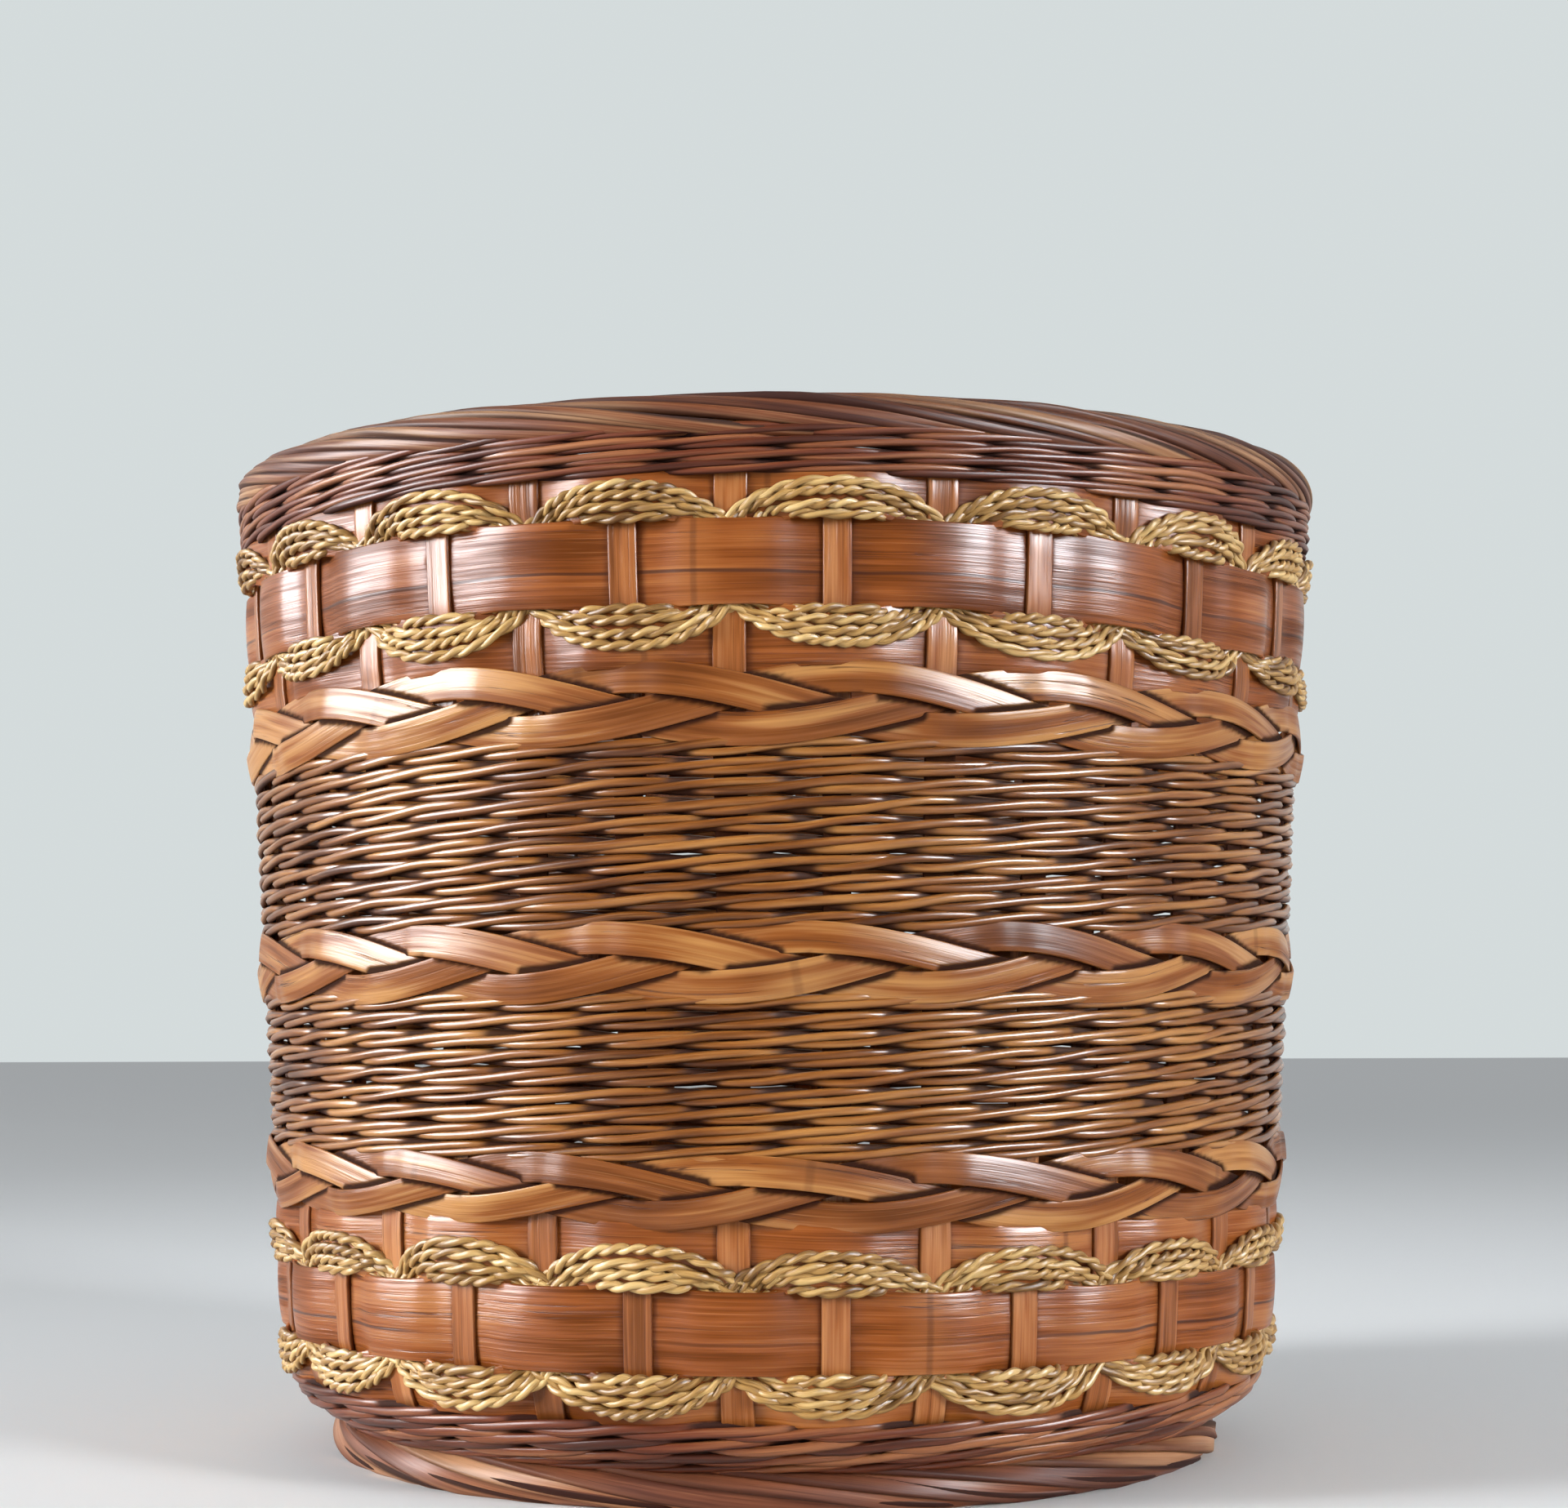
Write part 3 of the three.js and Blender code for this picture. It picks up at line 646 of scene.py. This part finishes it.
# Bands and hoops: flat splints that swing out and in round the uprights
bands = {
    "thickness": 1.0 * mm, "crown": 0.55 * mm, "faceSteps": 9, "middle": 0.45 * mm,
    "swing": 1.35 * mm, "flatness": 1.4, "samples": 432,
    "hiddenBreadth": (0.09, 0.32),  # a wide band's and a hoop's extra width where it passes behind
    "hiddenRange": (0.25, 0.8),  # of the way to the next upright, where that width goes
    "hoopReach": 2.3 * mm,  # a hoop runs this far under the cord beside it
    "plaitReach": 1.3 * mm, "heightDrift": 0.22 * mm, "outwardDrift": (0.08 * mm, (4, 7)),
    "breadthDrift": (0.012, (3, 5, 8)),
    "shadeRange": (0.11, 0.22),  # of the way to the next upright, where shade is painted beside it
}
bandRows = (  # piece, whether it passes behind the first upright, tone, reach down and up
    ("lower_wide_band", True, 0.45, 0.0, 0.0),
    ("upper_wide_band", True, 0.3, 0.0, 0.0),
    ("lower_hoop_bottom", False, 0.52, 0.0, bands["hoopReach"]),
    ("lower_hoop_top", False, 0.57, bands["hoopReach"], bands["plaitReach"]),
    ("upper_hoop_bottom", False, 0.31, bands["plaitReach"], bands["hoopReach"]),
    ("upper_hoop_top", False, 0.43, bands["hoopReach"], bands["plaitReach"]),
)


def bandOutward(turn, behind):  # the splint's middle, out from the uprights' middle
    wave = np.cos((turn - firstAngle) * weave["uprights"] / 2)
    pillow = np.tanh(bands["flatness"] * wave) / math.tanh(bands["flatness"])
    return bands["middle"] + (-1 if behind else 1) * bands["swing"] * pillow


def makeBand(node, behind, tone, reachDown, reachUp):
    low, high = heightsOf(node)
    low, high = low - reachDown, high + reachUp
    middle = (low + high) / 2
    radius = float(wallRadius(middle))
    turn = loopTurns(bands["samples"], 0.0 if behind else uprightStep)
    outward = bandOutward(turn, behind) + wander(turn, *bands["outwardDrift"])
    height = middle + wander(turn, bands["heightDrift"])
    place = (turn - firstAngle) / (2 * uprightStep) + (0 if behind else 0.5)
    away = np.abs(place - np.round(place)) * 2  # 0 behind an upright, 1 in front of the next one
    hiddenBreadth = bands["hiddenBreadth"][0 if behind else 1]
    breadth = (1 + wander(turn, *bands["breadthDrift"])
               + hiddenBreadth * (1 - eased(away, *bands["hiddenRange"])))
    outline = splintOutline(high - low, bands["thickness"], bands["crown"], bands["faceSteps"])
    outline = widened(outline, breadth)
    grid = sweepRound(turn, radius, outward, height, outline)
    # shade painted where the splint passes behind an upright
    stainAndShade = 1 - eased(away, *bands["shadeRange"])
    bundle = newBundle()
    addStrand(bundle, wrapOnWall(grid, radius), outline, turn * radius, tone, closed=True,
              depth=stainAndShade)
    material = "bambooBand" if behind else "bambooHoop"
    makePiece(node + "_splint", bundle, material, node)


for bandRow in bandRows:
    makeBand(*bandRow)
print("bands and hoops woven")


# Flat plaits of three splints each: a splint comes to the front as it turns at an edge
plaits = {
    "splints": 3, "width": 6.8 * mm, "thickness": 0.75 * mm, "crown": 0.15 * mm, "faceSteps": 7,
    "middle": 2.35 * mm, "layer": 1.35 * mm, "rise": 5.3 * mm,
    "turnShare": 0.14,  # of half a wave, over which a splint comes forward
    "roll": 9.0,  # degrees, a splint's inner edge stands up where it lies on top
    "rollPhase": 0.75 * math.pi, "phaseDrift": (0.07, (3, 5)), "outwardDrift": (0.06 * mm, (5, 8)),
    "heightDrift": (0.16 * mm, (4, 7, 11)), "breadthDrift": (0.05, (5, 9, 13)),
    "shadeRange": (0.2 * mm, 2.4 * mm),  # beside the splint on top, where its shadow is painted
    "shadeHeights": (0.05 * mm, 0.5 * mm),  # of that splint above this one, where the painted shadow sets in
    "wavesRound": 6, "samples": 540,
    "chevronTip": {"lower_plait": 2.0, "middle_plait": 8.0, "upper_plait": 12.0},  # degrees
}


def plaitLayer(phase):  # falls from 1 to -1 between one edge and the other
    place = (phase / math.pi - 0.5) % 1.0
    turnShare = plaits["turnShare"]
    fall = 1 - 2 * place
    leave = eased(place, 0, turnShare)
    arrive = eased(place, 1 - turnShare, 1)
    return fall * leave * (1 - arrive)


def plaitLine(plait, number, turn):  # a splint's phase, outward place and height
    tip = math.radians(plaits["chevronTip"][plait])
    phase = plaits["wavesRound"] * (turn - tip) + number * fullTurn / plaits["splints"]
    phase = phase + wander(turn, *plaits["phaseDrift"])
    outward = plaits["middle"] + plaits["layer"] * plaitLayer(phase)
    outward = outward + wander(turn, *plaits["outwardDrift"])
    height = plaits["rise"] * np.sin(phase)
    height = height + wander(turn, *plaits["heightDrift"])
    return phase, outward, height


def plaitContactShade(here, height, outward, turn, lines):  # painted shadow: 1 where another splint lies close on top
    stainAndShade = np.zeros(here.shape)
    for _, otherOutward, otherHeight in lines:
        clear = np.abs(height - np.interp(here, turn, otherHeight, period=fullTurn))
        above = np.interp(here, turn, otherOutward, period=fullTurn) - outward[:, None]
        shade = 1 - eased(clear - plaits["width"] / 2, *plaits["shadeRange"])
        stainAndShade = np.maximum(stainAndShade, shade * eased(above, *plaits["shadeHeights"]))
    return stainAndShade


def makePlait(plait):
    nodes = [f"{plait}_strand_{number + 1}" for number in range(plaits["splints"])]
    lows, highs = zip(*map(heightsOf, nodes))
    middle = (min(lows) + max(highs)) / 2
    radius = float(wallRadius(middle))
    turn = loopTurns(plaits["samples"])
    lines = [plaitLine(plait, number, turn) for number in range(plaits["splints"])]
    for node, (phase, outward, height) in zip(nodes, lines):
        outline = splintOutline(plaits["width"], plaits["thickness"], plaits["crown"],
                                plaits["faceSteps"])
        breadth = 1 + wander(turn, *plaits["breadthDrift"])
        outline = widened(outline, breadth)
        roll = math.radians(plaits["roll"]) * np.cos(phase - plaits["rollPhase"])
        grid = sweepRound(turn, radius, outward, middle + height, rolled(outline, roll))
        # shadow painted on a splint beside the edge of one lying on top
        stainAndShade = plaitContactShade(grid[..., 0] / radius, grid[..., 2] - middle, outward, turn, lines)
        bundle = newBundle()
        addStrand(bundle, wrapOnWall(grid, radius), outline, turn * radius,
                  random.random(), closed=True, depth=stainAndShade)
        makePiece(node + "_splint", bundle, "bambooPlait", node)


for plaitName in plaits["chevronTip"]:
    makePlait(plaitName)
print("plaits woven")


# Wicker and walings: rows of three rods, each in front of two uprights and then behind one
rodRows = {
    "lower_wicker": {
        "rows": 9, "thick": 1.9 * mm, "tall": 1.93 * mm, "middle": 0.0, "swing": 1.65 * mm,
        "lift": 1.08 * mm, "unevenness": 0.16 * mm, "reach": (1.9 * mm, 2.5 * mm),
    },
    "upper_wicker": {
        "rows": 10, "thick": 1.9 * mm, "tall": 1.99 * mm, "middle": 0.0, "swing": 1.65 * mm,
        "lift": 1.08 * mm, "unevenness": 0.16 * mm, "reach": (1.9 * mm, 1.9 * mm),
    },
    "bottom_waling": {
        "rows": 4, "thick": 1.8 * mm, "tall": 1.75 * mm, "middle": 0.9 * mm, "swing": 1.3 * mm,
        "lift": 0.78 * mm, "unevenness": 0.14 * mm, "reach": (1.0 * mm, 0.5 * mm),
    },
    "top_waling": {
        "rows": 4, "thick": 1.9 * mm, "tall": 1.85 * mm, "middle": 0.8 * mm, "swing": 1.4 * mm,
        "lift": 0.8 * mm, "unevenness": 0.16 * mm, "reach": (0.6 * mm, 2.6 * mm),
    },
}
rodPath = {
    "rods": 3, "samples": 432, "sides": 7,
    "openShare": 0.5,  # how far a rod's time in front outlasts its time behind
    "snap": 1.7,
    "rowDrift": 0.5,  # of a course's unevenness
    "slip": 0.28,  # of a row against the next, in radians of the wave
    "phaseDrift": (0.22, (7, 11, 17)), "outwardDrift": (0.09 * mm, (7, 13, 23)),
    "heightDrift": (0.13 * mm, (9, 17, 23, 31)), "girthSpread": 0.05,
    "girthDrift": (0.06, (5, 11, 19, 29)),
    "shadeRange": (-0.75, 0.3),  # of the way in, from 1 behind an upright to -1 in front, where shade is painted
}


def rodOutward(phase):  # -1 behind an upright, 1 in front of two
    snap, openShare = rodPath["snap"], rodPath["openShare"]
    rear, front = math.tanh(snap * (openShare - 1)), math.tanh(snap * (openShare + 1))
    return (np.tanh(snap * (openShare - np.cos(phase))) - rear) / (front - rear) * 2 - 1


def addRod(bundle, turn, phase, middle, level, sizes):
    radius = float(wallRadius(middle))
    phase = phase + wander(turn, *rodPath["phaseDrift"])
    place = rodOutward(phase)
    outward = sizes["middle"] + sizes["swing"] * place + wander(turn, *rodPath["outwardDrift"])
    height = (middle + level - sizes["lift"] * np.sin(phase)
              + wander(turn, *rodPath["heightDrift"]))
    outline = roundOutline(rodPath["sides"], sizes["thick"] / 2, sizes["tall"] / 2)
    outline = outline * (1 + random.normal() * rodPath["girthSpread"])
    girth = 1 + wander(turn, *rodPath["girthDrift"])
    outline = outline[None] * girth[:, None, None]
    grid = sweepRound(turn, radius, outward, height, outline)
    # shade painted where the rod goes behind an upright
    stainAndShade = eased(-place, *rodPath["shadeRange"])
    addStrand(bundle, wrapOnWall(grid, radius), outline, turn * radius, random.random(),
              closed=True, depth=stainAndShade)


def makeRodRows(node, suffix, material):
    sizes = rodRows[node]
    low, high = heightsOf(node)
    low, high = low - sizes["reach"][0], high + sizes["reach"][1]
    pitch = (high - low) / sizes["rows"]
    turn = loopTurns(rodPath["samples"])
    rods = rodPath["rods"]
    bundle = newBundle()
    common = wander(turn, sizes["unevenness"])
    rowDrift = sizes["unevenness"] * rodPath["rowDrift"]
    for row in range(sizes["rows"]):
        middle = low + (row + 0.5) * pitch
        level = common + wander(turn, rowDrift, waves=(3, 5, 9))
        slip = random.normal() * rodPath["slip"]
        for rod in range(rods):
            wave = (turn - firstAngle) * weave["uprights"] / rods
            phase = wave - rod * fullTurn / rods + slip
            addRod(bundle, turn, phase, middle, level, sizes)
    makePiece(node + suffix, bundle, material, node)


for wicker in ("lower_wicker", "upper_wicker"):
    makeRodRows(wicker, "_reeds", "varnishedReed")
print("wicker woven")
for waling in ("bottom_waling", "top_waling"):
    makeRodRows(waling, "_rods", "darkRod")
print("walings woven")


# Rim and foot: rods laid over each other like shingles, each rolling across the border as it
# runs right
borders = {
    "rim_border": {
        "rods": 54, "span": 74.0, "width": 2.9 * mm, "thickness": 1.7 * mm, "tilt": 16.0,
        "startTurn": 225.0, "endTurn": -66.0, "material": "rimSplint",
    },
    "foot_border": {
        "rods": 22, "span": 84.0, "width": 5.8 * mm, "thickness": 1.3 * mm, "tilt": 14.0,
        "startTurn": 150.0, "endTurn": -110.0, "material": "footSplint",
    },
}
shingle = {
    "samples": 72,
    "inset": 0.65,  # of the thickness, from the border's surface to a rod's middle
    "startSpread": 0.008, "rollSpread": 0.08, "proud": 0.22 * mm, "widthSpread": 0.12,
    "crown": 0.25,  # of the thickness
    "girthDrift": (0.06, (1, 3)),
    "taperShare": 0.06,  # of the length, at each end
    "endSize": 0.2,
    "tuckedRange": (0.12, 0.42),  # of the width, on the side that slips under the next rod, where shade is painted
}


def makeBorder(node):
    sizes = borders[node]
    low, high = heightsOf(node)
    points = nodePoints(node)
    reach = np.hypot(points[:, 0], points[:, 1])
    centre = (reach.min() + reach.max()) / 2
    middle = (low + high) / 2
    inset = sizes["thickness"] * shingle["inset"]
    wide, tall = (reach.max() - reach.min()) / 2 - inset, (high - low) / 2 - inset
    share = np.linspace(0, 1, shingle["samples"])
    length = math.radians(sizes["span"]) * centre
    ends = np.minimum(share, 1 - share) / shingle["taperShare"]
    taper = np.clip(ends, shingle["endSize"], 1) ** 0.5
    sweepTurn = sizes["startTurn"] + (sizes["endTurn"] - sizes["startTurn"]) * share
    bundle = newBundle()
    for rod in range(sizes["rods"]):
        start = (firstAngle + rod * fullTurn / sizes["rods"]
                 + random.normal() * shingle["startSpread"])
        roll = (np.radians(sweepTurn) + random.normal() * shingle["rollSpread"]
                + wander(share * fullTurn, shingle["rollSpread"], waves=(1, 2)))
        proud = random.normal() * shingle["proud"]
        outward = (wide + proud) * np.cos(roll)
        height = middle + (tall + proud) * np.sin(roll)
        width = sizes["width"] * (1 + random.normal() * shingle["widthSpread"])
        flat = splintOutline(width, sizes["thickness"], sizes["thickness"] * shingle["crown"])
        girth = 1 + wander(share * fullTurn, *shingle["girthDrift"])
        flat = flat[None] * (taper * girth)[:, None, None]
        path = np.stack([share * length, -outward, height], -1)
        turned = rolled(flat, roll + math.radians(sizes["tilt"]))
        grid = wrapOnRing(sweep(path, turned), centre, start)
        grid[..., 2] = np.clip(grid[..., 2], low, high)
        # shade painted on the side of a rod that slips under the next one
        tuckedShade = eased(flat[..., 1] / sizes["width"], *shingle["tuckedRange"])
        addStrand(bundle, grid, flat, share * length, random.random(), depth=tuckedShade)
    makePiece(node + "_rods", bundle, sizes["material"], node)


for border in borders:
    makeBorder(border)
print("borders laid")


# Seagrass: half moons of nested two-ply cords above and below each wide band
coils = {
    "halfWidths": (11.6 * mm, 15.4 * mm, 18.8 * mm, 21.4 * mm),
    "rises": (0.7 * mm, 3.1 * mm, 5.6 * mm, 8.2 * mm),
    "endRise": 1.1 * mm,  # where a cord slips in over the wide band's edge
    "sinks": (0.9 * mm, 0.3 * mm, 0.0, 0.0),  # the inner cords lie a little deeper
    "shape": 2.3, "bowSamples": 81, "ply": 0.78 * mm, "plyOffset": 0.54 * mm,
    "pitches": (7.5 * mm, 12.0 * mm), "step": 0.8 * mm,
    "clearHoop": 1.7 * mm,  # from the hoop's middle out to the cord's
    "clearBand": 1.6 * mm,  # from the wide band's middle in to the cord's
    "leastFront": 2.3 * mm,
    "diveRange": (0.7, 0.98),  # of the half width, where a cord goes in
    "tuckDepth": 5.0 * mm, "tucks": (0.2, 1.0, 4),
    "leastSlope": 0.8,  # of the tucked ends
    "lowestDrop": 0.88,  # the lowest moons hang less deep
    "softening": (0.25, 0.5, 0.25), "sides": 7, "moonSpread": 0.05, "moonShift": 0.5 * mm,
    "widthSpread": 0.025, "riseSpread": 0.2 * mm, "cordShift": 0.35 * mm,
    "twistDrift": (0.7, (1, 2, 3)), "lumps": 0.12,
    "lumpLength": 1.9 * mm,  # along the cord, for one radian
    "lumpPhase": 6.0,
}


def cordPath(halfWidth, rise, sink, edge, direction, middle, radius):
    share = np.linspace(-1, 1, coils["bowSamples"])
    bow = coils["endRise"] + (rise - coils["endRise"]) * (1 - np.abs(share) ** coils["shape"])
    slope = coils["shape"] * rise / halfWidth
    down = np.linspace(*coils["tucks"]) * coils["tuckDepth"]
    side = halfWidth + down / max(slope, coils["leastSlope"])
    across = np.concatenate([-side[::-1], share * halfWidth, side])
    height = np.concatenate([coils["endRise"] - down[::-1], bow, coils["endRise"] - down])
    dive = eased(np.abs(across) / halfWidth, *coils["diveRange"])
    turn = middle + across / radius  # over the hoop, then behind the band
    front = np.maximum(bandOutward(turn, False) + coils["clearHoop"], coils["leastFront"]) - sink
    behind = bandOutward(turn, True) - coils["clearBand"]
    return np.stack([across, -(front + (behind - front) * dive), edge + direction * height], -1)


def resample(path, step):
    length = np.concatenate([[0], np.cumsum(np.linalg.norm(np.diff(path, axis=0), axis=1))])
    along = np.linspace(0, length[-1], max(8, round(length[-1] / step)))
    return along, np.stack([np.interp(along, length, path[:, axis]) for axis in range(3)], -1)


def addCord(bundle, path, radius, centre):
    along, path = resample(path, coils["step"])
    for axis in range(3):
        path[1:-1, axis] = np.convolve(path[:, axis], coils["softening"], mode="valid")
    twist = fullTurn * along / random.uniform(*coils["pitches"]) + random.uniform(0, fullTurn)
    twist = twist + wander(along / along[-1] * fullTurn, *coils["twistDrift"])
    for plySide in (0.0, math.pi):
        lumps = np.sin(along / coils["lumpLength"] + random.uniform(0, coils["lumpPhase"]))
        girth = coils["ply"] * (1 + coils["lumps"] * lumps)
        circle = roundOutline(coils["sides"], 1.0, 1.0)[None] * girth[:, None, None]
        turned = np.stack([np.cos(twist + plySide), np.sin(twist + plySide)], -1)
        grid = sweep(path, circle + (turned * coils["plyOffset"])[:, None])
        grid = wrapOnWall(grid, radius, centre)
        addStrand(bundle, grid, circle, along, random.random())


def makeMoon(bundle, edge, direction, centre, drop):
    radius = float(wallRadius(edge))
    lift = drop * (1 + random.normal() * coils["moonSpread"])
    sideways = random.normal() * coils["moonShift"]
    for halfWidth, rise, sink in zip(coils["halfWidths"], coils["rises"], coils["sinks"]):
        spread = halfWidth * (1 + random.normal() * coils["widthSpread"])
        lifted = rise * lift + random.normal() * coils["riseSpread"]
        path = cordPath(spread, lifted, sink, edge, direction, centre, radius)
        path[:, 0] += sideways + random.normal() * coils["cordShift"]
        addCord(bundle, path, radius, centre)


def makeCoils(node, band, lowerDrop):
    low, high = heightsOf(band)
    bundle = newBundle()
    for coil in range(weave["uprights"] // 2):
        centre = firstAngle + 2 * coil * uprightStep
        makeMoon(bundle, high, 1, centre, 1.0)
        makeMoon(bundle, low, -1, centre, lowerDrop)
    makePiece(node + "_cords", bundle, "seagrassCord", node)


makeCoils("lower_seagrass_coils", "lower_wide_band", coils["lowestDrop"])
makeCoils("upper_seagrass_coils", "upper_wide_band", 1.0)
print("seagrass coiled")


# Base: spokes under twined rods, hidden in the photograph
base = {
    "spokeWidth": 5.0 * mm,
    "spokeShare": 0.8,  # of the room between two spokes, near the hub
    "spokeThickness": 0.8 * mm, "spokeSamples": 24,
    "spokeStart": 0.4,  # of the hub
    "rod": 1.3 * mm,
    "rodBreadth": 1.5,  # of its height
    "rodSides": 6, "rodStep": 1.9 * mm, "leastSteps": 108, "rowPitch": 3.1 * mm, "hub": 9.0 * mm,
}


def addSpoke(bundle, angle, reach, middle):
    run = np.linspace(base["hub"] * base["spokeStart"], reach, base["spokeSamples"])
    width = np.minimum(base["spokeWidth"], run * uprightStep * base["spokeShare"])
    outline = widened(splintOutline(1.0, base["spokeThickness"]), width)
    sideways, upward = outline[..., 1], outline[..., 0]
    grid = np.stack([run[:, None] * math.sin(angle) + sideways * math.cos(angle),
                     sideways * math.sin(angle) - run[:, None] * math.cos(angle),
                     middle + upward], -1)
    addStrand(bundle, grid[:, ::-1], outline, run, random.random())


def addBaseRod(bundle, row, radius, middle, swing):
    turn = np.arange(max(base["leastSteps"], int(fullTurn * radius / base["rodStep"])))
    turn = turn * fullTurn / len(turn)
    wave = np.cos((turn - firstAngle) * weave["uprights"] / 2 + math.pi * row)
    half = base["rod"] / 2
    outline = roundOutline(base["rodSides"], half * base["rodBreadth"], half)
    grid = sweepRound(turn, radius, np.zeros_like(turn), middle + swing * wave, outline)
    addStrand(bundle, wrapOnRing(grid, radius), outline, turn * radius, random.random(),
              closed=True)


def makeBase():
    node = "base_mat"
    low, high = heightsOf(node)
    middle = (low + high) / 2
    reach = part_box(node)[1].x
    swing = (high - low - base["rod"]) / 2
    bundle = newBundle()
    for spoke in range(weave["uprights"]):
        addSpoke(bundle, firstAngle + spoke * uprightStep, reach, middle)
    for row in range(int((reach - base["hub"]) / base["rowPitch"])):
        radius = reach - base["rod"] / 2 - row * base["rowPitch"]
        addBaseRod(bundle, row, radius, middle, swing)
    makePiece("base_weave", bundle, "baseReed", node)


makeBase()
print("base woven")


# Floor, light and camera
stage = {
    "floorColour": (0.82, 0.83, 0.83), "floorRoughness": 0.9, "floorSize": 8.0,
    "backdropColour": (0.66, 0.71, 0.715),
    "worldStrength": (0.31, 0.47),  # from below, and from above
    "worldRange": (-0.6, 0.8),  # how far down and up it reaches them
    "roomShine": 0.1,  # how bright the near side of the room is in the varnish
    "roomRange": (-0.2, 0.5),  # from the near side to the far side
    "worldColour": (0.94, 0.97, 1.0),
}


def makeFloor():
    half = stage["floorSize"] / 2
    corners = [(-half, -half, 0), (half, -half, 0), (half, half, 0), (-half, half, 0)]
    mesh = bpy.data.meshes.new("floor")
    mesh.from_pydata(corners, [], [(0, 1, 2, 3)])
    floor = newObject("floor", mesh)
    material = bpy.data.materials.new("paleFloor")
    material.use_nodes = True
    tree = material.node_tree
    feed(tree.nodes["Principled BSDF"], {
        "Base Color": stage["floorColour"], "Roughness": stage["floorRoughness"],
        "Specular IOR Level": 0.0,
    })
    mesh.materials.append(material)


def shownDirectly(tree):  # 1 where the camera, gloss or glass looks at the backdrop
    rays = addNode(tree, "LightPath")
    shown = maths(tree, "MAXIMUM", rays.outputs["Is Camera Ray"], rays.outputs["Is Glossy Ray"])
    return maths(tree, "MAXIMUM", shown, rays.outputs["Is Transmission Ray"])


def makeWorld():
    world = bpy.data.worlds.new("paleRoom")
    bpy.context.scene.world = world
    world.use_nodes = True
    tree = world.node_tree
    direction = addNode(tree, "TexCoord").outputs["Generated"]
    parts = addNode(tree, "SeparateXYZ")
    feed(parts, {0: direction})
    rise, depth = parts.outputs[2], parts.outputs[1]
    strength = smooth(tree, rise, *stage["worldRange"], *stage["worldStrength"])
    light = tree.nodes["Background"]
    feed(light, {"Color": stage["worldColour"], "Strength": strength})
    backdrop = addNode(tree, "Background")
    shine = smooth(tree, depth, *stage["roomRange"], stage["roomShine"], 1.0)
    seen = addNode(tree, "LightPath").outputs["Is Camera Ray"]
    feed(backdrop, {"Color": stage["backdropColour"],
                    "Strength": maths(tree, "MAXIMUM", shine, seen)})
    mix = addNode(tree, "MixShader")
    feed(mix, {0: shownDirectly(tree), 1: light.outputs[0], 2: backdrop.outputs[0]})
    feed(tree.nodes["World Output"], {"Surface": mix.outputs[0]})


windows = {  # angle, distance, height, size, power, spread, whether in the varnish alone, colour
    "leftWindow": (-72.0, 2.8, 0.8, (0.8, 0.9), 6.6, 40.0, False, (0.93, 0.97, 1.0)),
    "rightWindow": (50.0, 2.8, 0.9, (0.7, 0.9), 3.8, 40.0, False, (0.95, 0.975, 1.0)),
    "leftGleam": (-81.0, 1.6, 0.66, (1.3, 1.15), 118.0, 180.0, True, (0.9, 0.95, 1.0)),
    "rightGleam": (56.0, 1.8, 0.78, (0.9, 0.95), 110.0, 180.0, True, (0.88, 0.93, 1.0)),
}
aimHeight = 0.12  # where on the pot the windows point


def makeWindow(name, angle, distance, height, size, power, spread, varnishOnly, colour):
    light = bpy.data.lights.new(name, "AREA")
    light.shape = "RECTANGLE"
    light.size, light.size_y = size
    light.energy = power
    light.color = colour
    light.spread = math.radians(spread)
    lamp = newObject(name, light)
    angle = math.radians(angle)
    lamp.location = (distance * math.sin(angle), -distance * math.cos(angle), height)
    tilt = math.atan2(height - aimHeight, distance)
    lamp.rotation_euler = (math.pi / 2 - tilt, 0, angle)
    lamp.visible_diffuse = not varnishOnly
    lamp.visible_glossy = varnishOnly


view = {
    "place": (0.002, -0.732, 0.1107),
    "lookUp": 4.7,  # degrees
    "roll": 0.17, "lens": 66.4, "sensor": 36, "clipStart": 0.01,
}


def makeCamera():
    camera = bpy.data.cameras.new("camera")
    camera.lens = view["lens"]
    camera.sensor_width = view["sensor"]
    camera.clip_start = view["clipStart"]
    holder = newObject("camera", camera)
    holder.location = view["place"]
    up, roll = math.radians(90 + view["lookUp"]), math.radians(view["roll"])
    holder.rotation_euler = (up, roll, 0)
    bpy.context.scene.camera = holder


makeFloor()
makeWorld()
for windowName, window in windows.items():
    makeWindow(windowName, *window)
makeCamera()
bpy.context.scene.view_settings.view_transform = "Standard"
print("stage set")
